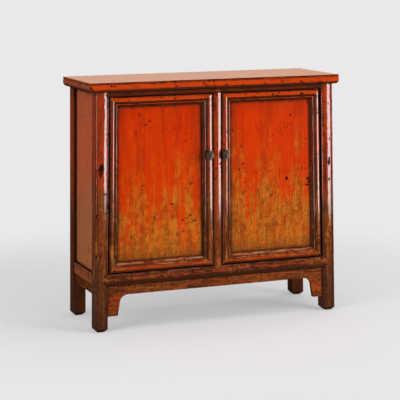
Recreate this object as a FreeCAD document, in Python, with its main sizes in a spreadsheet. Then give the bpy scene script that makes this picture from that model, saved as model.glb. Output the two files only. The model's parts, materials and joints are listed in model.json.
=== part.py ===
import FreeCAD, Part
import os
import re
import Sketcher

# Kang cabinet: a low two-door cabinet with leaning posts, a frame-and-panel top and pintle-hung doors.
# Millimetres. The origin is on the floor under the middle of the cabinet, +X is to the right,
# +Y is to the back and +Z is up.

SIZES = {
    # Whole cabinet. The posts lean in by the taper, so they stand wider apart at the floor.
    "cabinet_height": 900,
    "foot_spread": 956,
    "post_taper": 18.5,
    "body_depth": 330,
    # Fits and working allowances
    "joint_fit": 0.15,
    "bore_fit": 0.08,
    "overrun": 20,
    "edge_round": 3,
    # Posts: a wide crowned face between two beads
    "post_side": 48,
    "post_bead": 6.5,
    "post_bead_back": 5,
    "post_bead_crest": 1.3,
    "post_quirk": 3,
    "foot_wear": 12,
    "head_tenon_side": 20,
    "head_tenon_height": 18,
    # Top: mitred frame round a flush panel on two battens
    "top_thickness": 35,
    "top_side_overhang": 22.5,
    "top_front_overhang": 9,
    "top_frame_width": 60,
    "top_lip": 5,
    "top_lip_round": 3,
    "top_quirk": 1.5,
    "top_belly_round": 13,
    "top_panel_thickness": 14,
    "top_tongue": 8,
    "top_tongue_thickness": 7,
    "top_batten_width": 40,
    "top_batten_offset": 160,
    "top_batten_recess": 1.5,
    "top_batten_shoulder": 3.5,
    # Head rails
    "head_rail_height": 17,
    "head_rail_thickness": 47,
    "head_rail_crown": 6,
    "head_shoulder_lap": 9,
    "back_head_rail_height": 30,
    # Base rails
    "base_rail_bottom": 165,
    "base_rail_height": 46,
    "base_rail_thickness": 44,
    "base_rail_crown": 9.5,
    "base_rail_proud": 1.5,
    "base_shoulder_lap": 22,
    "shoulder_layer": 12,
    "side_rail_bottom": 168,
    "side_rail_height": 41,
    "side_rail_thickness": 30,
    "side_rail_recess": 4,
    "rail_tenon_length": 22,
    "rail_tenon_thickness": 14,
    # Side and back panels
    "panel_recess": 12,
    "panel_thickness": 10,
    "panel_tongue": 8,
    "back_recess": 16,
    "back_mullion_width": 44,
    "back_mullion_thickness": 24,
    # Aprons and their heads
    "apron_drop": 33,
    "apron_recess": 7,
    "apron_thickness": 18,
    "apron_tongue": 6,
    "apron_head_drop": 76,
    "apron_head_reach": 77,
    "apron_head_foot": 39,
    "apron_head_round": 32,
    # Center post
    "center_post_width": 32,
    "center_stop_width": 44,
    "center_post_depth": 46,
    "center_setback": 4,
    "center_crown": 3.5,
    "center_shoulder_lap": 11,
    # Doors
    "door_setback": 2,
    "door_thickness": 30,
    "door_gap": 1.5,
    "door_head_gap": 2.5,
    "door_foot_gap": 3.5,
    "door_stop_gap": 0.5,
    "lock_gap": 2.5,
    "stile_width": 38,
    "door_rail_width": 35,
    "stile_round": 14,
    "lock_round": 14,
    "lock_fall": 3.5,
    "crown_fall": 4.5,
    "frame_quirk": 6.5,
    "frame_bead": 5.5,
    "frame_bead_crest": 4.6,
    "frame_slope": 6.5,
    "frame_slope_depth": 15,
    "door_panel_recess": 18,
    "door_panel_thickness": 8,
    "door_tongue": 7,
    "door_batten_height": 30,
    "door_batten_thickness": 7,
    "door_tenon_thickness": 8,
    "door_tenon_edge": 10,
    "pintle_radius": 6,
    "pintle_head": 13.5,
    "pintle_foot": 15,
    "pintle_seat": 0.3,
    "socket_head_room": 2,
    # Floor and shelf
    "floor_thickness": 12,
    "floor_drop": 4,
    "shelf_height": 520,
    "shelf_thickness": 12,
    "bearer_side": 20,
    "bearer_tenon": 10,
    # Iron knobs
    "knob_height": 622,
    "left_knob_offset": 33,
    "right_knob_offset": 30,
    "knob_width": 29,
    "knob_length": 41,
    "knob_depth": 15,
    "knob_neck": 5,
    "knob_neck_radius": 4.5,
    "knob_shank_radius": 3,
    "knob_tilt": 14,
    "knob_flat": 4,
    "knob_plate_width": 22,
    "knob_plate_length": 36,
    "knob_plate_thickness": 1.6,
    "knob_plate_let_in": 0.9,
    "washer_radius": 6,
    "washer_thickness": 1.5,
}

DERIVED = {
    "post_height": "cabinet_height - top_thickness",
    "lean": "post_taper / post_height",
    "top_width": "(foot_spread - 2 * post_taper + 2 * top_side_overhang)",
    "top_depth": "(body_depth + 2 * top_front_overhang)",
    "front": "-body_depth / 2",
    "back": "body_depth / 2",
    "corner_share": "1 - sqrt(1 / 2)",
    "head_rail_bottom": "post_height - head_rail_height",
    "base_rail_top": "base_rail_bottom + base_rail_height",
    "side_rail_top": "side_rail_bottom + side_rail_height",
    "apron_bottom": "base_rail_bottom - apron_drop",
    "door_top": "head_rail_bottom - door_head_gap",
    "door_bottom": "base_rail_top + door_foot_gap",
    "door_front": "front + door_setback",
    "door_back": "door_front + door_thickness",
    "panel_top": "door_top - door_rail_width",
    "panel_bottom": "door_bottom + door_rail_width",
    "door_panel_front": "door_front + door_panel_recess",
    "door_panel_back": "door_panel_front + door_panel_thickness",
    "lock_edge": "center_post_width / 2 + lock_gap",
    "lock_inner": "lock_edge + stile_width",
    "moulding_width": "frame_quirk - crown_fall + frame_bead + frame_slope",
    "axis_depth": "door_front + stile_round",
    "floor_top": "base_rail_top - floor_drop",
    "back_panel_face": "back - back_recess",
    "shelf_top": "shelf_height + shelf_thickness",
}

SIDES = (("left", -1), ("right", 1))

os.makedirs("parts", exist_ok=True)
document = FreeCAD.newDocument("kang_cabinet")
sheet = document.addObject("Spreadsheet::Sheet", "sizes")
for row, (word, value) in enumerate(SIZES.items(), start=1):
    sheet.set(f"A{row}", word)
    sheet.set(f"B{row}", str(value))
    sheet.setAlias(f"B{row}", word)
document.recompute()

pieces = []


def formula(text):
    """Spell a formula of named sizes as an expression on the sheet's cells."""
    def spell(match):
        word = match.group(0)
        if word in DERIVED:
            return "(" + formula(DERIVED[word]) + ")"
        return "sizes." + word if word in SIZES else word
    return re.sub(r"[a-z][a-z0-9_]*", spell, str(text))


def measure(text):
    """Work out a formula's value now, in millimetres."""
    return float(sheet.evalExpression(formula(text)))


def outer(height):
    """Distance from the middle plane to a post's outer side at a height."""
    return f"(foot_spread / 2 - lean * ({height}))"


def inner(height):
    """Distance from the middle plane to a post's inner side at a height."""
    return f"({outer(height)} - post_side)"


def across(side, near, far):
    """An X range given by two distances from the middle plane, on one side of it."""
    if side > 0:
        return near, far
    return f"-({far})", f"-({near})"


def deep(row, near, far):
    """A Y range given by two distances in from the front (-1) or the back (1) face of the body."""
    if row < 0:
        return f"front + ({near})", f"front + ({far})"
    return f"back - ({far})", f"back - ({near})"


def loose(span):
    """The same range with the joint's clearance at both ends."""
    return f"({span[0]}) - joint_fit", f"({span[1]}) + joint_fit"


def draw(sketch, outline):
    """Draw a closed outline. A corner is (x, y); an arc is (x, y of its middle, x, y of its end)."""
    corners = [step[-2:] for step in outline]
    for index, corner in enumerate(corners):
        after = (index + 1) % len(corners)
        start = FreeCAD.Vector(measure(corner[0]), measure(corner[1]), 0)
        end = FreeCAD.Vector(measure(corners[after][0]), measure(corners[after][1]), 0)
        step = outline[after]
        if len(step) == 4:
            middle = FreeCAD.Vector(measure(step[0]), measure(step[1]), 0)
            sketch.addGeometry(Part.Arc(start, middle, end), False)
        else:
            sketch.addGeometry(Part.LineSegment(start, end), False)
    count = len(corners)
    ends = []
    for index, corner in enumerate(corners):
        start = FreeCAD.Vector(measure(corner[0]), measure(corner[1]), 0)
        to_first, to_second = (sketch.getPoint(index, end).distanceToPoint(start) for end in (1, 2))
        ends.append((1, 2) if to_first < to_second else (2, 1))
    for index in range(count):
        after = (index + 1) % count
        sketch.addConstraint(Sketcher.Constraint("Coincident", index, ends[index][1], after, ends[after][0]))
    for index, corner in enumerate(corners):
        pin(sketch, index, ends[index][0], corner)
    for index in range(count):
        step = outline[(index + 1) % count]
        if len(step) == 4:
            middle = FreeCAD.Vector(measure(step[0]), measure(step[1]), 0)
            point = sketch.addGeometry(Part.Point(middle), True)
            sketch.addConstraint(Sketcher.Constraint("PointOnObject", point, 1, index))
            pin(sketch, point, 1, step[:2])


def pin(sketch, element, end, corner):
    """Hold one point of a sketch at a place worked out from the named sizes."""
    for kind, text in zip(("DistanceX", "DistanceY"), corner):
        number = sketch.addConstraint(Sketcher.Constraint(kind, -1, 1, element, end, measure(text)))
        sketch.setExpression(f"Constraints[{number}]", formula(text))


def prism(name, plane, outline, low, high, lean_by=None):
    """Pad an outline between two levels: flat (along Z), front (along Y) or side (along X)."""
    body = document.addObject("PartDesign::Body", name)
    sketch = body.newObject("Sketcher::SketchObject", name + "_outline")
    role = {"flat": "XY_Plane", "front": "XZ_Plane", "side": "YZ_Plane"}[plane]
    base = [feature for feature in body.Origin.OriginFeatures if feature.Role == role][0]
    sketch.AttachmentSupport = [(base, "")]
    sketch.MapMode = "FlatFace"
    level = f"-({high})" if plane == "front" else low
    sketch.setExpression("AttachmentOffset.Base.z", formula(level))
    draw(sketch, outline)
    pad = body.newObject("PartDesign::Pad", name + "_pad")
    pad.Profile = sketch
    pad.setExpression("Length", formula(f"({high}) - ({low})"))
    if lean_by:
        pad.UseCustomVector = True
        pad.AlongSketchNormal = True
        pad.Direction = FreeCAD.Vector(0, 0, 1)
        pad.setExpression("Direction.x", formula(lean_by))
    return body


def block(name, x, y, z):
    """A square block between three pairs of formulas."""
    solid = document.addObject("Part::Box", name)
    for size, axis, (low, high) in (("Length", "x", x), ("Width", "y", y), ("Height", "z", z)):
        solid.setExpression(size, formula(f"({high}) - ({low})"))
        solid.setExpression("Placement.Base." + axis, formula(low))
    return solid


def rod(name, radius, length, place, axis, angle):
    """A round bar from a place, its Z axis turned about another axis by an angle."""
    solid = document.addObject("Part::Cylinder", name)
    solid.setExpression("Radius", formula(radius))
    solid.setExpression("Height", formula(length))
    solid.Placement = FreeCAD.Placement(FreeCAD.Vector(), FreeCAD.Rotation(axis, 1))
    for letter, text in zip("xyz", place):
        solid.setExpression("Placement.Base." + letter, formula(text))
    solid.setExpression("Placement.Rotation.Angle", formula(angle))
    return solid


def fuse(name, shapes):
    solid = document.addObject("Part::MultiFuse", name)
    solid.Shapes = shapes
    return solid


def common(name, shapes):
    solid = document.addObject("Part::MultiCommon", name)
    solid.Shapes = shapes
    return solid


def cut(name, base, tools):
    """Take one or more shapes away from another."""
    solid = document.addObject("Part::Cut", name)
    solid.Base = base
    solid.Tool = tools[0] if len(tools) == 1 else fuse(name + "_tools", tools)
    return solid


def piece(name, solid):
    """Keep a finished object as the sub-part of that name."""
    solid.Label = name
    pieces.append(solid)
    return solid


def slab(side, low, high, near, far):
    """Outline in the front view of a board between two distances from the middle, low to high."""
    return [(f"{side} * ({near(low)})", low), (f"{side} * ({far(low)})", low),
            (f"{side} * ({far(high)})", high), (f"{side} * ({near(high)})", high)]


def between_posts(low, high, beyond="0"):
    """Outline in the front view of a board that runs from post to post."""
    return [(f"-({inner(low)}) - ({beyond})", low), (f"{inner(low)} + ({beyond})", low),
            (f"{inner(high)} + ({beyond})", high), (f"-({inner(high)}) - ({beyond})", high)]


def mitred(low, high, lap, gap="0"):
    """Outline of a rail's front layer, whose blunt points lap onto the faces of the posts."""
    middle = f"(({low}) + ({high})) / 2"
    tip = f"(({high}) - ({low})) / 6"
    reach = f"({inner(middle)} + ({lap}) + ({gap}))"
    top = f"({high}) + ({gap})"
    bottom = f"({low}) - ({gap})"
    return [(f"-({inner(low)})", bottom), (inner(low), bottom),
            (reach, f"{middle} - {tip} - ({gap})"), (reach, f"{middle} + {tip} + ({gap})"),
            (inner(high), top), (f"-({inner(high)})", top),
            (f"-{reach}", f"{middle} + {tip} + ({gap})"), (f"-{reach}", f"{middle} - {tip} - ({gap})")]


# Sockets and grooves that neighbours leave in each piece are gathered here, then cut at the end.
hollows = {}


def hollow(names, tool):
    for name in names:
        hollows.setdefault(name, []).append(tool)


def finish(name, solid):
    """Cut what the neighbours need out of a piece and keep it."""
    if name in hollows:
        solid = cut(name + "_cut", solid, hollows[name])
    return piece(name, solid)


FRONT_POSTS = ["post_front_left", "post_front_right"]
BACK_POSTS = ["post_back_left", "post_back_right"]


def through_tenon(name, posts, reach, y, z):
    """A bar inside a rail whose two ends are its tenons, and the mortises for it."""
    x = (f"-({reach})", reach)
    hollow(posts, block(name + "_mortise", loose(x), loose(y), loose(z)))
    return block(name + "_tenon", x, y, z)


# Rails across the front. Their faces are crowned and end in mitred shoulders on the posts.

def front_rail(name, low, high, thickness, crown, lap, tenon_y, tenon_z):
    """A crowned rail between the front posts, from its bottom to its top."""
    depth = f"front + {thickness}"
    layer = "front + shoulder_layer"
    body = prism(name + "_body", "front", between_posts(low, high), "front - overrun", depth)
    face = prism(name + "_face", "front", mitred(low, high, lap), "front - overrun", layer)
    length = "foot_spread / 2"
    moulding = prism(name + "_moulding", "side", crown, f"-({length})", length)
    shaped = common(name + "_shaped", [fuse(name + "_blank", [body, face]), moulding])
    hollow(FRONT_POSTS, prism(name + "_notch", "front", mitred(low, high, lap, "joint_fit"),
                              "front - overrun", f"{layer} + joint_fit"))
    reach = f"({inner(low)}) + rail_tenon_length"
    tenon = through_tenon(name, FRONT_POSTS, reach, tenon_y, tenon_z)
    return fuse(name + "_tenoned", [shaped, tenon])


head_crown = [("front + head_rail_thickness", "head_rail_bottom"),
              ("front + head_rail_crown", "head_rail_bottom"),
              ("front + head_rail_crown * 0.2", "head_rail_bottom + head_rail_height * 0.15",
               "front", "head_rail_bottom + head_rail_height * 0.55"),
              ("front + head_rail_crown * 0.1", "head_rail_bottom + head_rail_height * 0.8",
               "front + head_rail_crown * 0.3", "post_height"),
              ("front + head_rail_thickness", "post_height")]
tenon_y = ("front + head_rail_thickness / 2", "front + head_rail_thickness / 2 + rail_tenon_thickness")
tenon_z = ("head_rail_bottom + head_rail_height / 5", "post_height - head_rail_height / 5")
head_rail_front = front_rail("head_rail_front", "head_rail_bottom", "post_height", "head_rail_thickness",
                             head_crown, "head_shoulder_lap", tenon_y, tenon_z)

crest = "front - base_rail_proud"
base_crown = [("front + base_rail_thickness", "base_rail_bottom"),
              (f"{crest} + base_rail_crown", "base_rail_bottom"),
              (f"{crest} + base_rail_crown * 0.18", "base_rail_bottom + base_rail_height * 0.35",
               crest, "base_rail_bottom + base_rail_height * 0.7"),
              (f"{crest} + base_rail_crown * 0.25", "base_rail_bottom + base_rail_height * 0.92",
               f"{crest} + base_rail_crown", "base_rail_top"),
              ("front + base_rail_thickness", "base_rail_top")]
tenon_y = ("front + base_rail_thickness / 2", "front + base_rail_thickness / 2 + rail_tenon_thickness")
tenon_z = ("base_rail_bottom + base_rail_height / 4", "base_rail_top - base_rail_height / 4")
base_rail_front = front_rail("base_rail_front", "base_rail_bottom", "base_rail_top", "base_rail_thickness",
                             base_crown, "base_shoulder_lap", tenon_y, tenon_z)


# Back rails: plain boards, set in a little from the back posts.

def back_rail(name, low, high):
    y = ("back - side_rail_recess - side_rail_thickness", "back - side_rail_recess")
    body = prism(name + "_body", "front", between_posts(low, high), *y)
    middle = "back - side_rail_recess - side_rail_thickness / 2"
    tenon_y = (f"{middle} - rail_tenon_thickness / 2", f"{middle} + rail_tenon_thickness / 2")
    height = f"(({high}) - ({low}))"
    tenon_z = (f"({low}) + {height} / 4", f"({high}) - {height} / 4")
    tenon = through_tenon(name, BACK_POSTS, f"({inner(low)}) + rail_tenon_length", tenon_y, tenon_z)
    return fuse(name + "_tenoned", [body, tenon])


head_rail_back = back_rail("head_rail_back", "post_height - back_head_rail_height", "post_height")
base_rail_back = back_rail("base_rail_back", "side_rail_bottom", "side_rail_top")


# Side rails, side panels and side aprons lean with the posts.

def leaning_board(name, side, recess, thickness, y, low, high):
    """A board that follows the posts' outer sides, set in from them by a recess."""
    near = f"{outer(low)} - ({recess}) - ({thickness})"
    far = f"{outer(low)} - ({recess})"
    corners = [(f"{side} * ({near})", y[0]), (f"{side} * ({far})", y[0]),
               (f"{side} * ({far})", y[1]), (f"{side} * ({near})", y[1])]
    return prism(name, "flat", corners, low, high, f"{-side} * lean")


GAP_BETWEEN_POSTS = ("front + post_side", "back - post_side")
sides = {}
for word, side in SIDES:
    posts = ["post_front_" + word, "post_back_" + word]
    rail = leaning_board(f"base_rail_{word}_body", side, "side_rail_recess", "side_rail_thickness",
                         GAP_BETWEEN_POSTS, "side_rail_bottom", "side_rail_top")
    middle = f"{outer('side_rail_bottom')} - side_rail_recess - side_rail_thickness / 2"
    x = across(side, f"{middle} - rail_tenon_thickness / 2", f"{middle} + rail_tenon_thickness / 2")
    y = ("front + post_side - rail_tenon_length / 2", "back - post_side + rail_tenon_length / 2")
    z = ("side_rail_bottom + side_rail_height / 4", "side_rail_top - side_rail_height / 4")
    hollow(posts, block(f"base_rail_{word}_mortise", loose(x), loose(y), loose(z)))
    tenon = block(f"base_rail_{word}_tenon", x, y, z)
    sides[f"base_rail_{word}"] = fuse(f"base_rail_{word}_tenoned", [rail, tenon])

    y = ("front + post_side - panel_tongue", "back - post_side + panel_tongue")
    panel = leaning_board(f"side_panel_{word}_body", side, "panel_recess", "panel_thickness",
                          y, "side_rail_top - panel_tongue", "post_height")
    sides[f"side_panel_{word}"] = panel
    groove = leaning_board(f"side_panel_{word}_groove", side, "panel_recess - joint_fit",
                           "panel_thickness + 2 * joint_fit", loose(y),
                           "side_rail_top - panel_tongue - joint_fit", "post_height + overrun")
    hollow(posts + [f"base_rail_{word}"], groove)

    y = ("front + post_side - apron_tongue", "back - post_side + apron_tongue")
    apron = leaning_board(f"apron_{word}_body", side, "apron_recess", "apron_thickness",
                          y, "apron_bottom", "side_rail_bottom")
    sides[f"apron_{word}"] = apron
    hollow(posts, leaning_board(f"apron_{word}_groove", side, "apron_recess - joint_fit",
                                "apron_thickness + 2 * joint_fit", loose(y),
                                "apron_bottom - joint_fit", "side_rail_bottom"))

# Front and back aprons, tongued into the posts.
aprons = {}
for word, row, low, high, posts in (("front", -1, "apron_bottom", "base_rail_bottom", FRONT_POSTS),
                                    ("back", 1, "apron_bottom", "side_rail_bottom", BACK_POSTS)):
    y = deep(row, "apron_recess", "apron_recess + apron_thickness")
    body = prism(f"apron_{word}_board", "front", between_posts(low, high), *y)
    z = (f"({low}) + apron_drop / 4", f"({high}) - apron_drop / 4")
    aprons["apron_" + word] = fuse(f"apron_{word}_tongued", [
        body, through_tenon(f"apron_{word}", posts, f"({inner(low)}) + apron_tongue",
                            (f"({y[0]}) + apron_thickness / 3", f"({y[1]}) - apron_thickness / 3"), z)])

# Apron heads: separate quarter-round brackets that hang below the front apron along each leg.
for word, side in SIDES:
    bottom = "apron_bottom - apron_head_drop"
    edge = f"{inner('apron_bottom')} - apron_head_reach"
    turn = f"{edge} + apron_head_round"
    drop = "apron_bottom - apron_head_round"
    outline = [(f"{side} * ({inner('apron_bottom')})", "apron_bottom"),
               (f"{side} * ({edge})", "apron_bottom"),
               (f"{side} * ({edge} + apron_head_round * (1 - corner_share))",
                "apron_bottom - apron_head_round * corner_share",
                f"{side} * ({turn})", drop),
               (f"{side} * ({inner(bottom)} - apron_head_foot)", bottom),
               (f"{side} * ({inner(bottom)})", bottom)]
    y = deep(-1, "apron_recess", "apron_recess + apron_thickness")
    aprons["apron_head_" + word] = prism(f"apron_head_{word}_board", "front", outline, *y)

# Center post: a crowned face between the doors and a wider back that the doors stop against.
half = "center_post_width / 2"
stop = "center_stop_width / 2"
stop_face = "door_back + door_stop_gap"
post_back = "front + center_post_depth"
crest = "front + center_setback"
section = [(f"-{half}", f"{crest} + center_crown * 2"),
           (f"-{half} * 0.9", f"{crest} + center_crown * 0.8",
            f"-{half} * 0.7", f"{crest} + center_crown * 0.5"),
           ("0", crest, f"{half} * 0.7", f"{crest} + center_crown * 0.5"),
           (f"{half} * 0.9", f"{crest} + center_crown * 0.8", half, f"{crest} + center_crown * 2"),
           (half, stop_face), (stop, stop_face), (stop, post_back),
           (f"-{stop}", post_back), (f"-{stop}", stop_face), (f"-{half}", stop_face)]
center_body = prism("center_post_body", "flat", section, "base_rail_top", "head_rail_bottom")
center_face = prism("center_post_section", "flat", section, "base_rail_bottom", "post_height")


def center_lap(name, gap, low_y, high_y):
    """The pointed laps of the center post on the two rails, with a clearance round them."""
    wide = f"({half} + ({gap}))"

    def lap(word, shoulder, tip):
        outline = [(f"-{wide}", shoulder), (f"-{wide} / 4", tip), (f"{wide} / 4", tip), (wide, shoulder)]
        return prism(f"{name}_{word}", "front", outline, low_y, high_y)

    return [lap("lower", "base_rail_top", f"base_rail_top - center_shoulder_lap - ({gap})"),
            lap("upper", "head_rail_bottom", f"head_rail_bottom + center_shoulder_lap + ({gap})")]


laps = center_lap("center_lap", "0", "front - overrun", "front + shoulder_layer")
notches = center_lap("center_notch", "joint_fit", "front - overrun", "front + shoulder_layer + joint_fit")
hollow(["base_rail_front"], notches[0])
hollow(["head_rail_front"], notches[1])
crowns = [center_face, prism("center_lower_crown", "side", base_crown, f"-{half}", half),
          prism("center_upper_crown", "side", head_crown, f"-{half}", half)]
lapped = common("center_post_laps", [fuse("center_post_points", laps), fuse("center_post_crowns", crowns)])
tenon_x = (f"-{half} / 2", f"{half} / 2")
tenon_y = ("front + center_post_depth / 2", "front + center_post_depth / 2 + rail_tenon_thickness / 2")
tenon_z = ("base_rail_top - rail_tenon_length / 2", "head_rail_bottom + head_rail_height / 2")
center_tenon = block("center_post_tenon", tenon_x, tenon_y, tenon_z)
center_mortise = block("center_post_mortise", loose(tenon_x), loose(tenon_y), loose(tenon_z))
hollow(["base_rail_front", "head_rail_front"], center_mortise)
center_post = fuse("center_post_whole", [center_body, lapped, center_tenon])

# Back panels either side of a mullion.
mullion_x = ("-back_mullion_width / 2", "back_mullion_width / 2")
mullion_y = ("back_panel_face - back_mullion_thickness / 2 - panel_thickness / 2",
             "back_panel_face + back_mullion_thickness / 2 - panel_thickness / 2")
mullion_z = ("side_rail_top", "post_height - back_head_rail_height")
mullion = block("back_mullion_body", mullion_x, mullion_y, mullion_z)
tenon_x = ("-back_mullion_width / 4", "back_mullion_width / 4")
tenon_y = ("back_panel_face - panel_thickness", "back_panel_face")
tenon_z = (f"{mullion_z[0]} - panel_tongue", f"{mullion_z[1]} + panel_tongue")
hollow(["base_rail_back", "head_rail_back"],
       block("back_mullion_mortise", loose(tenon_x), loose(tenon_y), loose(tenon_z)))
back_mullion = fuse("back_mullion_tenoned", [mullion, block("back_mullion_tenon", tenon_x, tenon_y, tenon_z)])
back_panels = {}
for word, side in SIDES:
    low = "side_rail_top - panel_tongue"
    high = "post_height - back_head_rail_height + panel_tongue"

    def near(height):
        return "back_mullion_width / 2 - panel_tongue"

    def far(height):
        return f"{inner(height)} + panel_tongue"

    outline = slab(side, low, high, near, far)
    back_panels[f"back_panel_{word}"] = prism(f"back_panel_{word}_board", "front", outline,
                                              "back_panel_face - panel_thickness", "back_panel_face")

    def near_loose(height):
        return "back_mullion_width / 2 - panel_tongue - joint_fit"

    def far_loose(height):
        return f"{inner(height)} + panel_tongue + joint_fit"

    outline = slab(side, f"{low} - joint_fit", f"{high} + joint_fit", near_loose, far_loose)
    groove = prism(f"back_panel_{word}_groove", "front", outline,
                   "back_panel_face - panel_thickness - joint_fit", "back_panel_face + joint_fit")
    hollow(["back_mullion", "base_rail_back", "head_rail_back", "post_back_" + word], groove)

# Floor board: tongued into all four base rails and notched round the posts.
floor_low = "floor_top - floor_thickness"
floor_z = (floor_low, "floor_top")
floor_x = f"({inner('floor_top')} - edge_round)"
floor_y = ("front + base_rail_thickness - panel_tongue",
           "back - side_rail_recess - side_rail_thickness + panel_tongue")
wing_x = f"({outer('floor_top')} - side_rail_recess - side_rail_thickness + panel_tongue)"
wing_y = ("front + post_side + edge_round", "back - post_side - edge_round")
floor_panel = fuse("floor_panel_board", [
    block("floor_panel_middle", (f"-{floor_x}", floor_x), floor_y, floor_z),
    block("floor_panel_wings", (f"-{wing_x}", wing_x), wing_y, floor_z)])
hollow(["base_rail_front", "base_rail_back"],
       block("floor_long_groove", loose((f"-{floor_x}", floor_x)), loose(floor_y), loose(floor_z)))
hollow(["base_rail_left", "base_rail_right"],
       block("floor_side_groove", loose((f"-{wing_x}", wing_x)), loose(wing_y), loose(floor_z)))

# Shelf on two bearers that are tenoned between the posts.
bearers = {}
for word, side in SIDES:
    inset = "(panel_recess + panel_thickness)"
    body = leaning_board(f"shelf_bearer_{word}_body", side, inset, "bearer_side", GAP_BETWEEN_POSTS,
                         "shelf_height - bearer_side", "shelf_height")
    middle = f"{outer('shelf_height')} - {inset} - bearer_side / 2"
    x = across(side, f"{middle} - bearer_side / 4", f"{middle} + bearer_side / 4")
    y = ("front + post_side - bearer_tenon", "back - post_side + bearer_tenon")
    z = ("shelf_height - bearer_side * 0.8", "shelf_height - bearer_side * 0.2")
    hollow(["post_front_" + word, "post_back_" + word],
           block(f"bearer_{word}_mortise", loose(x), loose(y), loose(z)))
    tenon = block(f"bearer_{word}_tenon", x, y, z)
    bearers["shelf_bearer_" + word] = fuse(f"shelf_bearer_{word}_tenoned", [body, tenon])
shelf_x = f"({outer('shelf_top')} - panel_recess - panel_thickness - joint_fit)"
shelf_y = ("front + post_side + joint_fit", "back - post_side - joint_fit")
shelf = block("shelf_board", (f"-{shelf_x}", shelf_x), shelf_y, ("shelf_height", "shelf_top"))

# Top frame: four mitred members with a thin lip, a quirk and an edge that rounds in underneath.

def top_edge(edge, inward):
    """Outline of the frame's section. The edge is its outermost line and inward points to the middle."""
    def at(depth, fall):
        return f"{edge} + ({inward}) * ({depth})", f"cabinet_height - ({fall})"
    shoulder = "top_lip + top_quirk * 2"
    return [at("top_frame_width", "0"), at("top_lip_round", "0"),
            at("top_lip_round * corner_share", "top_lip_round * corner_share") + at("0", "top_lip_round"),
            at("0", "top_lip"), at("top_quirk", "top_lip + top_quirk / 2"), at("top_quirk", shoulder),
            at("top_quirk * corner_share", f"{shoulder} + top_quirk * (1 - corner_share)")
            + at("0", f"{shoulder} + top_quirk * 2"),
            at("0", "top_thickness - top_belly_round"),
            at("top_belly_round * corner_share", "top_thickness - top_belly_round * corner_share")
            + at("top_belly_round", "top_thickness"),
            at("top_frame_width", "top_thickness")]


panel_x = "(top_width / 2 - top_frame_width)"
panel_y = "(top_depth / 2 - top_frame_width)"
panel_bottom = "cabinet_height - top_panel_thickness"
tongue_x = (f"-{panel_x} - top_tongue", f"{panel_x} + top_tongue")
tongue_y = (f"-{panel_y} - top_tongue", f"{panel_y} + top_tongue")
tongue_z = (panel_bottom, f"{panel_bottom} + top_tongue_thickness")
top_panel = fuse("top_panel_board", [
    block("top_panel_face", (f"-{panel_x} + joint_fit", f"{panel_x} - joint_fit"),
          (f"-{panel_y} + joint_fit", f"{panel_y} - joint_fit"), (panel_bottom, "cabinet_height")),
    block("top_panel_tongue", tongue_x, tongue_y, tongue_z)])
TOP_MEMBERS = ["top_frame_front", "top_frame_back", "top_frame_left", "top_frame_right"]
hollow(TOP_MEMBERS, block("top_panel_groove", loose(tongue_x), loose(tongue_y), loose(tongue_z)))



def top_member(word, bar, mitre):
    """Cut a bar of the frame to its two mitres."""
    wedge = prism(f"top_frame_{word}_mitre", "flat", mitre,
                  "post_height - overrun", "cabinet_height + overrun")
    return common(f"top_frame_{word}_member", [bar, wedge])


top_members = {}
for word, row in (("front", -1), ("back", 1)):
    section = top_edge(f"{row} * top_depth / 2", f"{-row}")
    bar = prism(f"top_frame_{word}_bar", "side", section, "-top_width / 2", "top_width / 2")
    mitre = [("-top_width / 2 - overrun", f"{row} * (top_depth / 2 + overrun)"),
             ("top_width / 2 + overrun", f"{row} * (top_depth / 2 + overrun)"),
             (panel_x, f"{row} * {panel_y}"), (f"-{panel_x}", f"{row} * {panel_y}")]
    top_members["top_frame_" + word] = top_member(word, bar, mitre)
for word, side in SIDES:
    section = top_edge(f"{side} * top_width / 2", f"{-side}")
    bar = prism(f"top_frame_{word}_bar", "front", section, "-top_depth / 2", "top_depth / 2")
    mitre = [(f"{side} * (top_width / 2 + overrun)", "-top_depth / 2 - overrun"),
             (f"{side} * (top_width / 2 + overrun)", "top_depth / 2 + overrun"),
             (f"{side} * {panel_x}", panel_y), (f"{side} * {panel_x}", f"-{panel_y}")]
    top_members["top_frame_" + word] = top_member(word, bar, mitre)
battens = {}
for word, side in SIDES:
    middle = f"{side} * top_batten_offset"
    x = (f"{middle} - top_batten_width / 2", f"{middle} + top_batten_width / 2")
    z = ("post_height + top_batten_recess", panel_bottom)
    tenon_z = (f"{z[0]} + top_batten_shoulder", f"{z[1]} - top_batten_shoulder")
    hollow(["top_frame_front", "top_frame_back"],
           block(f"top_batten_{word}_mortise", loose(x), loose(tongue_y), loose(tenon_z)))
    battens["top_batten_" + word] = fuse(f"top_batten_{word}_bar", [
        block(f"top_batten_{word}_body", x, (f"-{panel_y}", panel_y), z),
        block(f"top_batten_{word}_tenon", x, tongue_y, tenon_z)])

# Posts. Each is padded along its lean; its foot is worn at the bottom edges and its head is tenoned.

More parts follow.
